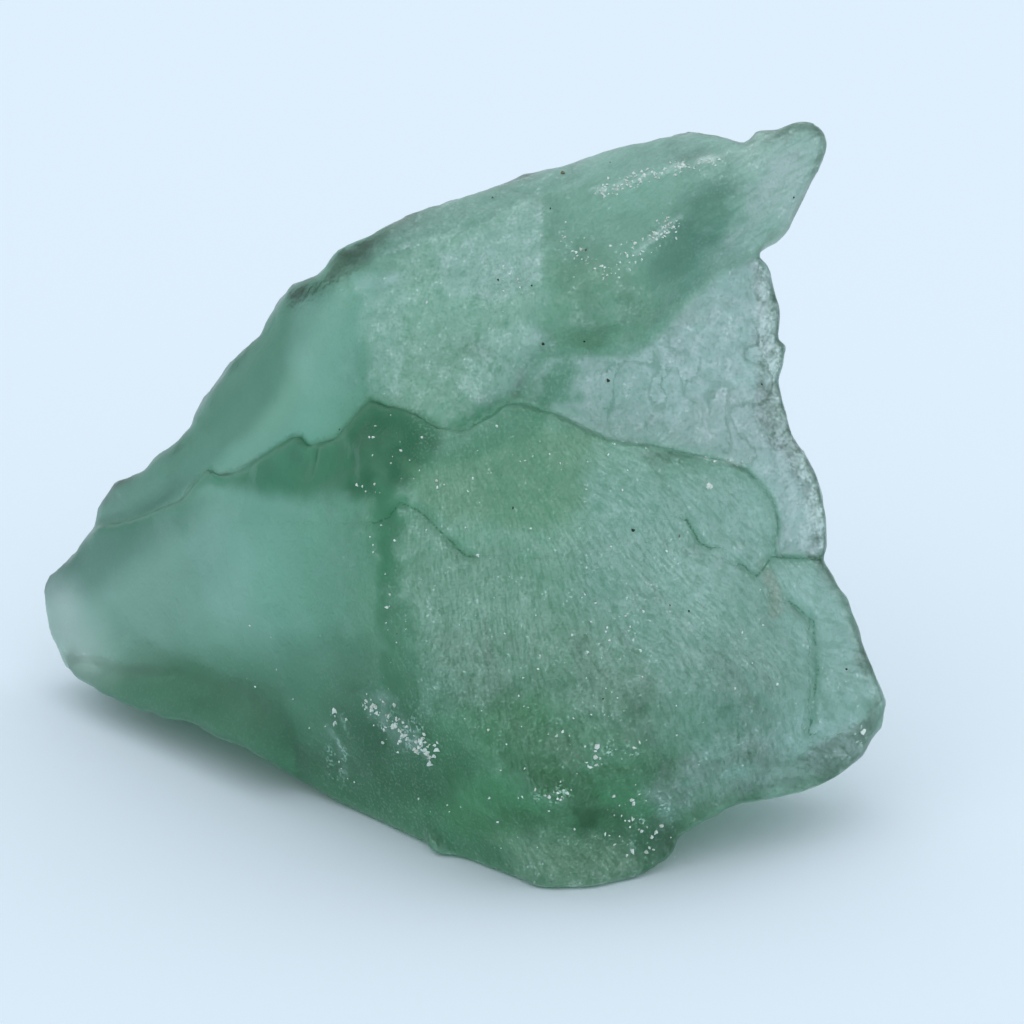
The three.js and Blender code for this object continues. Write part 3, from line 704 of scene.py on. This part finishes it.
# dark specks: across, up and size
SPECKS = [
    (7.7, 27.4, 0.13), (6.5, 34.4, 0.09), (1.8, 32.8, 0.08), (4.2, 29.4, 0.08), (5.3, 38.5, 0.11),
    (9.0, 19.4, 0.09), (11.5, 19.1, 0.1), (12.0, 15.1, 0.08), (3.6, 32.5, 0.06), (4.6, 36.6, 0.06),
    (6.4, 29.5, 0.08), (7.4, 10.4, 0.06), (2.6, 20.6, 0.07), (20.4, 12.0, 0.07), (17.6, 37.2, 0.06),
    (7.8, 39.1, 0.06), (1.5, 37.2, 0.07), (-6.7, 24.8, 0.06), (15.9, 27.2, 0.08),
    (11.0, 15.4, 0.06), (-3.6, 13.9, 0.06),
]


BROAD = 1.5  # areas with an edge softer than this run through the whole stone


def paint(look, across, out, up, ledge, brow, rim, wide, facing):
    """Colour of each point of the skin, painted shade and painted light among it, and the share of
    light that its frosting takes.
    """
    front = fade(facing, -0.3, 0.05)  # fine lines and small areas stay off the sides and the back
    sway = rolling(across, out, up, 1.8, 41), rolling(across, out, up, 1.8, 43)
    ragged = rolling(across, out, up, 0.7, 45), rolling(across, out, up, 0.7, 46)
    films = rolling(across, out, up, 3.0, 51) + 0.6 * rolling(across, out, up, 0.9, 53)
    colour = np.tile(look.body, (len(across), 1))
    on_crest = fade(ledge, 0.0, 0.25)
    on_plate = on_crest * fade(brow, 0.2, -0.5) * fade(across, 3.0, 5.5) * (0.3 + 0.7 * front)
    places = {"all": 1.0, "crest": on_crest * (1 - on_plate), "plate": on_plate,
              "notch": on_crest * fade(brow, 0.1, -0.15), "lower": 1 - on_crest}

    def lay(name, cover):
        colour[:] += cover[:, None] * (np.array(getattr(look, name)) - colour)

    right = fade(across + sway[0], -7.0, -4.6)
    broad_face = fade(across + sway[0], *CORNER)
    frost = 0.10 + 0.07 * (1 - on_crest) * fade(across, -5, -8) + 0.04 * on_crest
    frost = frost + 0.18 * broad_face * fade(up + sway[1], 4, 13) + 0.14 * on_plate
    sea = (1 - on_crest) * (1 - right) * fade(up + sway[1], 8, 14) * fade(across, -16, -9)
    lay("sea", 0.85 * sea)
    lay("light", 0.75 * broad_face * (1 - on_crest) * fade(up, 9, 15))
    lay("film", 0.9 * on_plate)
    stray = 0.2 + 0.8 * fade(across, -10, -5)  # edges are smoother over the left side
    for name, place, strength, soft, frosting, points in AREAS:
        u = across + stray * min(soft, 0.6) * (1.2 * sway[0] + 0.6 * ragged[0])
        v = up + stray * min(soft, 0.6) * (1.2 * sway[1] + 0.6 * ragged[1])
        cover = places[place] * fade(from_outline(points, u, v), soft / 2, -soft / 2)
        if soft < BROAD:
            cover = cover * front
        lay(name, strength * cover)
        frost += frosting * cover

    # painted shade: darker where the crest turns away at the brow
    brow_shade = fade(brow, 2.0, 0.0) * fade(brow, -0.3, 0.0)
    lay("deep", 0.35 * front * on_crest * brow_shade * fade(across, 3, 6))
    # painted shade: dark bands just below the ledge's edge
    lay("deep", 0.6 * front * (1 - on_crest) * fade(ledge, -0.9, 0) * fade(across, 9, 4))
    lay("deep", 0.5 * front * (1 - on_crest) * fade(ledge, -1.4, 0) * fade(across, 9, 12))
    # the cracks drawn as dark lines
    lay("deep", 0.45 * front * fade(abs(crack_side(across, up)), 0.5, 0.05))
    # painted shade: a thin dark line along the ledge's step
    line = fade(abs(ledge), 0.15, 0.03) * fade(across, 3, 5) * fade(films, -0.5, 0.2)
    lay("darkest", 0.6 * line * front)
    # painted shade: dark lines along the rim, where light runs lengthwise through the wall
    edge = fade(rim, -0.3, -0.1) * fade(across, 10, 15) * fade(facing, 0.0, 0.3)
    edge = edge * (1 - 0.6 * fade(up, 34, 36))
    lay("darkest", 0.6 * edge * fade(films, -0.6, 0.3))
    # painted shade: darker along the rim of the bottom left
    lay("darkest", 0.6 * fade(rim, -3.4, -1.0) * fade(up, 12.8, 10.8) * fade(across, -1, -5))

    clings = fade(rolling(across, out, up, 0.8, 55), -0.4, 0.2) * front
    streaks = np.maximum.reduce([
        much * fade(distance_to_line(line, across, up) + 0.15 * ragged[0], width, 0.2 * width)
        for line, width, much in RIDGES]) * clings
    lay("frost", 0.5 * streaks)

    # painted shade in the hollows and painted light on the ridges
    broken = fade(across, -9, -4)
    lay("deep", 0.45 * broken * (1 - 0.6 * on_plate) * fade(wide, -0.01, -0.2))
    lay("light", 0.35 * broken * fade(wide, 0.02, 0.22) * (1 - edge) * fade(abs(ledge), 0.5, 2.5))
    frost = frost * (1 + 0.35 * films) * (1 - 0.8 * edge) + 0.4 * streaks
    return colour, np.clip(frost, 0.02, 0.9)


def fluorite_finish(look):
    """Clear green fluorite under a thin frosted skin, thicker where the stone was crushed."""
    g = Graph(bpy.data.materials.new("fluorite_green"))
    place = g.attribute("place")
    proud, veiled, fibrous = g.split(g.attribute("relief"))
    crack, wrinkle, crushed = g.split(g.attribute("marks"))

    # fibres fan out over the broad face and lie along the horn; the rest is grained and scaly
    fibres = g.noise(g.attribute("fan"), 1.0, 1.0, 0.7)
    turned = g.node("ShaderNodeMapping", None, {"Vector": place, "Rotation": (0.7, 0.4, 1.1)})
    scales = g.noise(turned, 1.5, 2.0, 0.7)
    grain = g.noise(turned, 7.0, 0.0)
    texture = (scales + (fibres - scales) * (fibrous * 0.55) - 0.5) * 0.7 + (grain - 0.5) * 0.25
    uneven = g.split(place)[0].over(-10.0, -4.0) * 0.8 + 0.2  # the left side is smoother
    texture = texture * uneven
    lines = (crack + (scales - 0.5) * 0.3).math("ABSOLUTE").over(0.09, 0.02) * grain.over(0.3, 0.6)
    wrinkles = (wrinkle + (grain - 0.5) * 0.1).math("ABSOLUTE").over(0.07, 0.01)
    dark = (lines * 0.75).math("MAXIMUM", wrinkles * 0.3)

    shade = (fibrous * fibres.over(0.52, 0.35) * 0.25).math(
        "MAXIMUM", grain.over(0.5, 0.2) * uneven * 0.2)
    # the tint holds the colours laid by paint(), painted shade and painted light among them
    colour = g.mix(shade, g.attribute("tint"), tuple(look.deep))
    light = grain.over(0.5, 0.8) * veiled.over(0.0, 0.15) * uneven
    colour = g.mix(light * 0.35, colour, tuple(look.light))
    colour = g.mix(dark, colour, tuple(look.darkest))
    bump = g.node("ShaderNodeBump", None, {
        "Strength": 0.4, "Distance": 0.15 * MM, "Height": scales})
    clear = g.node("ShaderNodeBsdfPrincipled", None, {
        "Base Color": colour, "Roughness": look.roughness, "Normal": bump, "IOR": look.ior,
        "Specular IOR Level": look.sheen, "Transmission Weight": 1.0})
    frosted = g.node("ShaderNodeBsdfPrincipled", None, {
        "Base Color": g.mix(0.2, colour, tuple(look.frost)), "Roughness": 0.6, "Normal": bump,
        "IOR": look.ior, "Specular IOR Level": look.sheen})
    dots = grain.over(0.74, 0.8) * scales.over(0.5, 0.6)
    cover = veiled * (texture * 3.4 + 1.0 + dots * 1.6)
    cover = cover + (proud + texture * 0.3).over(0.02, 0.14) * 0.3
    cover = cover + crushed * (scales + grain).over(0.95, 1.15) * 0.8
    cover = cover.clamped() * (1.0 - dark)
    surface = g.node("ShaderNodeMixShader", None, {0: cover, 1: clear, 2: frosted})
    volume = g.node("ShaderNodeVolumeAbsorption", None, {
        "Color": (*look.depth_colour, 1.0), "Density": look.depth_density})
    return g.finish(surface, volume)


def crumb_finish(look):
    g = Graph(bpy.data.materials.new("crushed_white"))
    place = g.node("ShaderNodeTexCoord", output=3)
    dull = g.noise(place, 1500.0, 2.0).over(0.45, 0.65) * 0.3
    colour = g.mix(dull, tuple(look.crumbs), tuple(look.stain))
    surface = g.node("ShaderNodeBsdfPrincipled", None, {
        "Base Color": colour, "Roughness": 0.45, "IOR": look.ior, "Specular IOR Level": 0.5})
    return g.finish(surface)


def speck_finish(look):
    g = Graph(bpy.data.materials.new("dark_specks"))
    place = g.node("ShaderNodeTexCoord", output=3)
    rusty = g.noise(place, 300.0, 2.0).over(0.52, 0.62)
    surface = g.node("ShaderNodeBsdfPrincipled", None, {
        "Base Color": g.mix(rusty * 0.6, tuple(look.grit), tuple(look.stain)), "Roughness": 0.7})
    return g.finish(surface)


# from straight away from the brightest part of the light to straight towards it
LIGHT_LEVELS = [(0.0, 0.24), (0.25, 0.30), (0.45, 0.45), (0.75, 0.84), (1.0, 1.0)]


def ground_finish(colour):
    g = Graph(bpy.data.materials.new("white_ground"))
    surface = g.node("ShaderNodeBsdfPrincipled", None, {
        "Base Color": (*colour, 1.0), "Roughness": 0.9, "Specular IOR Level": 0.1})
    return g.finish(surface)


GROUND_HALF = 1.2  # metres from the middle to each side
GROUND_DROP = -0.1 * MM  # a hair below the stone, or light through its foot would miss the ground


def soft_light(settings):
    """Light from all round, brightest from overhead."""
    g = Graph(bpy.data.worlds.new("soft_light"))
    way = g.node("ShaderNodeTexCoord")
    facing = g.vector("DOT_PRODUCT", way, Vector(settings.brightest).normalized(), output=1)
    stops = [(at, [level * c for c in settings.sky]) for at, level in LIGHT_LEVELS]
    ramp = {"stops": stops}
    colour = g.node("ShaderNodeValToRGB", ramp, {"Fac": facing * 0.5 + 0.5})
    background = g.node("ShaderNodeBackground", None, {
        "Color": colour, "Strength": settings.sky_strength})
    return g.finish(background)


# ---- meshes ----

def mesh_from(name, points, faces, smooth=True):
    """A mesh object at the origin from points and quads, in metres."""
    mesh = bpy.data.meshes.new(name)
    mesh.vertices.add(len(points))
    mesh.vertices.foreach_set("co", points.astype(np.float32).ravel())
    mesh.loops.add(faces.size)
    mesh.loops.foreach_set("vertex_index", faces.astype(np.int32).ravel())
    mesh.polygons.add(len(faces))
    sides = faces.shape[1]
    mesh.polygons.foreach_set("loop_start", np.arange(0, faces.size, sides, dtype=np.int32))
    mesh.polygons.foreach_set("use_smooth", np.full(len(faces), smooth))
    mesh.update(calc_edges=True)
    mesh.validate()
    piece = bpy.data.objects.new(name, mesh)
    bpy.context.scene.collection.objects.link(piece)
    return piece


def seat_in_box(points):
    """Moves the points so that the middle of their box is where the solid's is, on the ground."""
    low, high = (np.array(corner) for corner in SOLID_BOUNDS)
    shift = (low + high) / 2 - (points.min(0) + points.max(0)) / 2
    shift[2] = -points[:, 2].min()
    return points + shift


def relief(points, faces, normals, rounds=(6, 60)):
    """How far each point stands out from the skin smoothed a little and a lot, in millimetres."""
    pairs = np.concatenate([faces[:, [n, (n + 1) % 4]] for n in range(4)])
    pairs = np.concatenate([pairs, pairs[:, ::-1]])
    count = np.bincount(pairs[:, 0], minlength=len(points))[:, None]
    smooth = points.copy()
    proud = []
    for n in range(1, max(rounds) + 1):
        total = np.stack([np.bincount(pairs[:, 0], smooth[pairs[:, 1], axis], len(points))
                          for axis in range(3)], axis=1)
        smooth = 0.5 * smooth + 0.5 * total / count
        if n in rounds:
            proud.append(((points - smooth) * normals).sum(1) / MM)
    return proud


def fan(across, out, up):
    """Place in a pattern of fibres: they fan out over the broad face, and lie along the horn."""
    bend = rolling(across, out, up, 6, 61)
    turn = np.arctan2(across - FAN[0], FAN[1] - up) + 0.06 * bend
    spread = (120 * turn + 13.7, 1.4 * np.hypot(across - FAN[0], up - FAN[1]))
    cos, sin = math.cos(HORN_TURN), math.sin(HORN_TURN)
    straight = (4.5 * (up * cos - across * sin) + bend, 0.8 * (across * cos + up * sin))
    on_horn = (up > 28) & (across > 4)
    u, v = (np.where(on_horn, a, b) for a, b in zip(straight, spread))
    return u, v, 0.2 * out + bend


def marks(across, out, up, ledge, brow):
    """Cracks and wrinkles, which lie where these are zero, and how crushed the skin is."""
    crack = np.where(out > -9, np.clip(crack_side(across, up), -1, 1), 1)
    on_plate = (ledge > 0.1) & (brow < -0.3) & (across > 4)
    wrinkle = rolling(across + rolling(across, out, up, 1.5, 65), out, 0.35 * up, 1.5, 63)
    broken = rolling(across, out, up, 3, 67) > 0
    crushed = patches(CRUSHED, across, up) * fade(rolling(across, out, up, 0.9, 69), 0.15, 0.35)
    return crack, np.where(on_plate & broken, wrinkle, 1), crushed


def carry(piece, name, parts):
    """Three numbers for each point of the mesh, which its material reads as one vector."""
    layer = piece.data.attributes.new(name, "FLOAT_VECTOR", "POINT")
    layer.data.foreach_set("vector", np.stack(parts, axis=1).astype(np.float32).ravel())


# ---- settings ----

def colour(name, description, default):
    return FloatVectorProperty(
        name=name, description=description, default=default, subtype="COLOR", min=0, max=1)


def share(name, description, default):
    return FloatProperty(
        name=name, description=description, default=default, subtype="FACTOR", min=0, max=1)


class StoneSettings(bpy.types.PropertyGroup):
    step: FloatProperty(
        name="Skin step", description="Grid step of the stone's skin", default=0.26 * MM,
        unit="LENGTH")
    quick_step: FloatProperty(
        name="Quick skin step", description="Grid step while trying things", default=0.45 * MM,
        unit="LENGTH")


class FinishSettings(bpy.types.PropertyGroup):
    # the stone's colours; deep and darkest are also laid as painted shade, and light, pale, sunny
    # and frost in places as painted light
    body: colour("Body", "Colour of most of the stone", (0.40, 0.62, 0.51))
    sea: colour("Sea", "Colour of the bluer zones", (0.41, 0.66, 0.61))
    sunny: colour("Sunny", "Colour of the yellower zones", (0.34, 0.54, 0.34))
    light: colour("Light", "Colour of the lighter zones", (0.50, 0.74, 0.62))
    pale: colour("Pale", "Colour of the thin pale zones", (0.55, 0.74, 0.74))
    deep: colour("Deep", "Colour of the dark green zones", (0.08, 0.32, 0.18))
    darkest: colour("Darkest", "Colour of the darkest green", (0.01, 0.15, 0.065))
    film: colour("Film", "Colour of thin frosted patches", (0.62, 0.76, 0.78))
    frost: colour("Frost", "Colour of crushed edges", (0.72, 0.84, 0.82))
    grit: colour("Grit", "Colour of dark specks", (0.02, 0.03, 0.02))
    shade: colour("Shade", "Colour of the smooth bluish sides", (0.30, 0.50, 0.43))
    dusk: colour("Dusk", "Colour of the thick shaded sides", (0.13, 0.28, 0.215))
    grass: colour("Grass", "Colour of the bright green zone at the foot", (0.15, 0.55, 0.25))
    blush: colour("Blush", "Colour of the greyish zones of the plate", (0.58, 0.64, 0.66))
    stain: colour("Stain", "Colour of the rusty stain", (0.30, 0.27, 0.17))
    depth_colour: colour("Depth colour", "What thick stone lets through", (0.22, 0.66, 0.42))
    depth_density: FloatProperty(
        name="Depth density", description="How fast light dies away, per metre", default=100.0)
    sheen: share("Sheen", "Strength of the reflections", 0.3)
    roughness: share("Roughness", "Of the broken faces", 0.3)
    ior: FloatProperty(name="Refractive index", description="Of fluorite", default=1.434)
    crumbs: colour("Crumbs", "Colour of white crumbs", (0.76, 0.86, 0.80))


class CrumbSettings(bpy.types.PropertyGroup):
    crumb_scale: FloatProperty(
        name="Crumb size", description="Against the sizes listed", default=1.0, subtype="FACTOR")
    speck_scale: FloatProperty(
        name="Speck size", description="Against the sizes listed", default=1.0, subtype="FACTOR")
    seed: IntProperty(name="Seed", description="Of the crumbs' places and turns", default=7)


class StageSettings(bpy.types.PropertyGroup):
    lens: FloatProperty(
        name="Lens", description="Focal length on a 36 mm sensor", default=200.0,
        subtype="DISTANCE_CAMERA")
    distance: FloatProperty(
        name="Camera distance", description="From the front of the stone", default=0.304,
        unit="LENGTH")
    lean: FloatProperty(
        name="Camera height angle", description="Above the horizon", default=LEAN,
        subtype="ANGLE")
    ground: colour("Ground colour", "Of the white surface", (0.85, 0.925, 0.985))
    sky: colour("Fill colour", "Of the light from all round", (0.86, 0.93, 1.0))
    sky_strength: FloatProperty(
        name="Fill strength", description="Of the light from all round", default=1.16)
    brightest: FloatVectorProperty(
        name="Brightest", description="Where the light comes from most", default=(0.2, 0.2, 0.95),
        subtype="DIRECTION")


# ---- pieces ----

class FLUORITE_OT_stone(bpy.types.Operator):
    """Makes the stone's broken skin, in place of its plain solid"""
    bl_idname = "fluorite.stone"
    bl_label = "Stone"

    def execute(self, context):
        settings = context.scene.fluorite_stone
        step = settings.step
        low = (*SKIN_LOW, -1.5 * step / MM)
        points, quads = skin(stone, low, SKIN_HIGH, step / MM)
        across, up, out = face_frame(*points.T)
        lines = (
            over_line(LEDGE, across, up), over_line(BROW, across, up),
            from_outline(OUTLINE, across, up))
        look = context.scene.fluorite_finish

        # streaked over the broad face below the ledge, and along the horn
        spot = across + 1.5 * rolling(across, out, up, 1.5, 47)
        fibrous = fade(spot, -4.6, -2.6) * fade(lines[0], 0.1, -0.1)
        fibrous += fade(spot + up, 41, 45) * fade(up, 29, 30) * fade(lines[1], 0.1, 0.6)

        points = seat_in_box(points * MM)
        piece = mesh_from("fluorite_stone", points, quads)
        normals = np.empty(len(points) * 3, np.float32)
        piece.data.vertices.foreach_get("normal", normals)
        normals = normals.reshape(-1, 3)
        fine, wide = relief(points, quads, normals)
        facing = normals @ (0.0, -math.cos(LEAN), math.sin(LEAN))
        colour, frost = paint(look, across, out, up, *lines, wide, facing)
        carry(piece, "place", (across, out, up))
        carry(piece, "tint", colour.T)
        proud = fine * fade(abs(lines[0]), 0.2, 0.6)
        carry(piece, "relief", (proud, frost, fibrous))
        carry(piece, "fan", fan(across, out, up))
        carry(piece, "marks", marks(across, out, up, *lines[:2]))
        piece.data.materials.append(fluorite_finish(look))
        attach(piece, "root")
        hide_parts("fluorite")
        return {"FINISHED"}


def on_front(piece, spots):
    """Places on the skin's front at the spots (across, up) of its face, their outward ways, and
    which spots the face has."""
    mesh = piece.data
    place, here, normals = (np.empty(len(mesh.vertices) * 3, np.float32) for _ in range(3))
    mesh.attributes["place"].data.foreach_get("vector", place)
    mesh.vertices.foreach_get("co", here)
    mesh.vertices.foreach_get("normal", normals)
    place = place.reshape(-1, 3)
    picks = []
    for across, up in spots:
        near = np.flatnonzero(np.hypot(place[:, 0] - across, place[:, 2] - up) < 0.5)
        if len(near):
            front = near[place[near, 1] > place[near, 1].max() - 0.6]
            far = np.hypot(place[front, 0] - across, place[front, 2] - up)
            picks.append(front[far.argmin()])
        else:
            picks.append(-1)
    found = np.array(picks) >= 0
    picks = np.array(picks)[found]
    here, ways = here.reshape(-1, 3)[picks], normals.reshape(-1, 3)[picks]
    # from the nearest point of the mesh on to the spot, along the skin
    on, off = (np.array(spots)[found] - place[picks][:, [0, 2]]).T * MM
    step = np.stack([on, off * math.sin(LEAN), off * math.cos(LEAN)], axis=1)
    outward = np.array([0.0, -math.cos(LEAN), math.sin(LEAN)])
    step -= ((step * ways).sum(1) / np.maximum(ways @ outward, 0.4))[:, None] * outward
    return here + step, ways, found


def grain_tree(material):
    """Nodes that put a broken grain on each point, as large as the point's own size."""
    tree = bpy.data.node_groups.new("grains", "GeometryNodeTree")
    tree.interface.new_socket("Points", in_out="INPUT", socket_type="NodeSocketGeometry")
    scale = tree.interface.new_socket("Scale", in_out="INPUT", socket_type="NodeSocketFloat")
    seed = tree.interface.new_socket("Seed", in_out="INPUT", socket_type="NodeSocketInt")
    tree.interface.new_socket("Grains", in_out="OUTPUT", socket_type="NodeSocketGeometry")
    g = Nodes(tree)
    points = g.node("NodeGroupInput")
    outer = points.socket.node.outputs
    factor, turns = Value(g, outer["Scale"]), Value(g, outer["Seed"])
    ball = g.node("GeometryNodeMeshIcoSphere", None, {"Radius": 1.0, "Subdivisions": 1})
    way = {"data_type": "FLOAT_VECTOR"}
    dents = g.node("FunctionNodeRandomValue", way, {0: (-0.45,) * 3, 1: (0.45,) * 3, "Seed": 3})
    grain = g.node("GeometryNodeSetPosition", None, {"Geometry": ball, "Offset": dents})
    turned = g.node("FunctionNodeRandomValue", way, {
        0: (0.0,) * 3, 1: (math.tau,) * 3, "Seed": turns})
    shape = g.node("FunctionNodeRandomValue", way, {0: (0.5,) * 3, 1: (1.3,) * 3, "Seed": turns})
    size = g.node("GeometryNodeInputNamedAttribute", {"data_type": "FLOAT"}, {"Name": "size"})
    shape = g.node("ShaderNodeVectorMath", {"operation": "SCALE"}, {
        0: shape, "Scale": size * factor})
    grains = g.node("GeometryNodeInstanceOnPoints", None, {
        "Points": points, "Instance": grain, "Rotation": turned, "Scale": shape})
    whole = g.node("GeometryNodeRealizeInstances", None, {"Geometry": grains})
    dressed = g.node("GeometryNodeSetMaterial", None, {"Geometry": whole, "Material": material})
    g.node("NodeGroupOutput", None, {0: dressed})
    return tree, scale.identifier, seed.identifier


def grains(name, spots, sizes, material, scale, seed):
    """One mesh of grains, sunk by a part of their size into the stone's skin at the spots."""
    places, ways, found = on_front(bpy.data.objects["fluorite_stone"], spots)
    sizes = (np.array(sizes) * MM)[found]
    places = places + 0.1 * sizes[:, None] * ways
    mesh = bpy.data.meshes.new(name + "_points")
    mesh.from_pydata(places.tolist(), [], [])
    layer = mesh.attributes.new("size", "FLOAT", "POINT")
    layer.data.foreach_set("value", sizes.astype(np.float32))
    holder = bpy.data.objects.new(name, mesh)
    bpy.context.scene.collection.objects.link(holder)
    tree, scale_input, seed_input = grain_tree(material)
    modifier = holder.modifiers.new("grains", "NODES")
    modifier.node_group = tree
    modifier[scale_input] = scale
    modifier[seed_input] = seed
    finished = holder.evaluated_get(bpy.context.evaluated_depsgraph_get())
    whole = bpy.data.meshes.new_from_object(finished)
    holder.modifiers.remove(modifier)
    holder.data = whole
    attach(holder, "root")


class FLUORITE_OT_crumbs(bpy.types.Operator):
    """Strews white crumbs along the crushed places, and a few dark specks"""
    bl_idname = "fluorite.crumbs"
    bl_label = "Crumbs and specks"

    def execute(self, context):
        settings = context.scene.fluorite_crumbs
        look = context.scene.fluorite_finish
        chance = np.random.default_rng(settings.seed)
        spots, sizes = [], []
        for line, stray, count, size in CRUMB_TRAILS:
            xs, ys = zip(*line)
            at = chance.uniform(0, len(line) - 1, count)
            across = np.interp(at, range(len(line)), xs) + stray * chance.normal(size=count)
            up = np.interp(at, range(len(line)), ys) + stray * chance.normal(size=count)
            spots += list(zip(across, up))
            sizes += list(size * chance.uniform(0.4, 1.25, count) ** 2)
        grains(
            "white_crumbs", spots, sizes, crumb_finish(look), settings.crumb_scale, settings.seed)
        spots = [(across, up) for across, up, _ in SPECKS]
        sizes = [size for _, _, size in SPECKS]
        grains("dark_specks", spots, sizes, speck_finish(look), settings.speck_scale, settings.seed)
        return {"FINISHED"}


class FLUORITE_OT_stage(bpy.types.Operator):
    """Sets the white ground, the soft light and the camera"""
    bl_idname = "fluorite.stage"
    bl_label = "Stage"

    def execute(self, context):
        settings = context.scene.fluorite_stage
        corners = np.array([
            (a * GROUND_HALF, b * GROUND_HALF, GROUND_DROP)
            for a, b in ((-1, -1), (1, -1), (1, 1), (-1, 1))])
        ground = mesh_from("ground", corners, np.array([[0, 1, 2, 3]]), smooth=False)
        ground.data.materials.append(ground_finish(settings.ground))

        context.scene.world = soft_light(settings)
        self.add_camera(context, settings)
        context.scene.view_settings.view_transform = "Standard"
        return {"FINISHED"}

    def add_camera(self, context, settings):
        """Looks along the line on which nothing widens, from in front of the broad face."""
        camera = bpy.data.cameras.new("camera")
        camera.lens = settings.lens
        camera.sensor_width = 36.0
        camera.clip_start = 0.01
        holder = bpy.data.objects.new("camera", camera)
        up, out = AXIS_UP * MM, settings.distance
        lean = settings.lean
        holder.location = Vector((
            AXIS_ACROSS * MM,
            up * math.sin(lean) - out * math.cos(lean),
            up * math.cos(lean) + out * math.sin(lean))) - Vector(MIDDLE) * MM
        holder.rotation_euler = (math.pi / 2 - lean, 0, 0)
        context.scene.collection.objects.link(holder)
        context.scene.camera = holder


class FLUORITE_PT_panel(bpy.types.Panel):
    bl_label = "Rough Fluorite"
    bl_idname = "FLUORITE_PT_panel"
    bl_space_type = "VIEW_3D"
    bl_region_type = "UI"
    bl_category = "Fluorite"

    def draw(self, context):
        for operator in OPERATORS:
            self.layout.operator(operator.bl_idname)
        for name in SETTINGS:
            group = getattr(context.scene, name)
            for prop in group.bl_rna.properties:
                if prop.identifier not in ("rna_type", "name"):
                    self.layout.prop(group, prop.identifier)


OPERATORS = (FLUORITE_OT_stone, FLUORITE_OT_crumbs, FLUORITE_OT_stage)
SETTINGS = {
    "fluorite_stone": StoneSettings,
    "fluorite_crumbs": CrumbSettings,
    "fluorite_finish": FinishSettings,
    "fluorite_stage": StageSettings,
}


def register():
    for group in (*SETTINGS.values(), *OPERATORS, FLUORITE_PT_panel):
        bpy.utils.register_class(group)
    for name, group in SETTINGS.items():
        setattr(bpy.types.Scene, name, PointerProperty(type=group))


def unregister():
    for name in SETTINGS:
        delattr(bpy.types.Scene, name)
    for group in (FLUORITE_PT_panel, *OPERATORS, *SETTINGS.values()):
        bpy.utils.unregister_class(group)


def main():
    register()
    for operator in OPERATORS:
        area, name = operator.bl_idname.split(".")
        getattr(getattr(bpy.ops, area), name)()


if __name__ == "__main__":
    main()
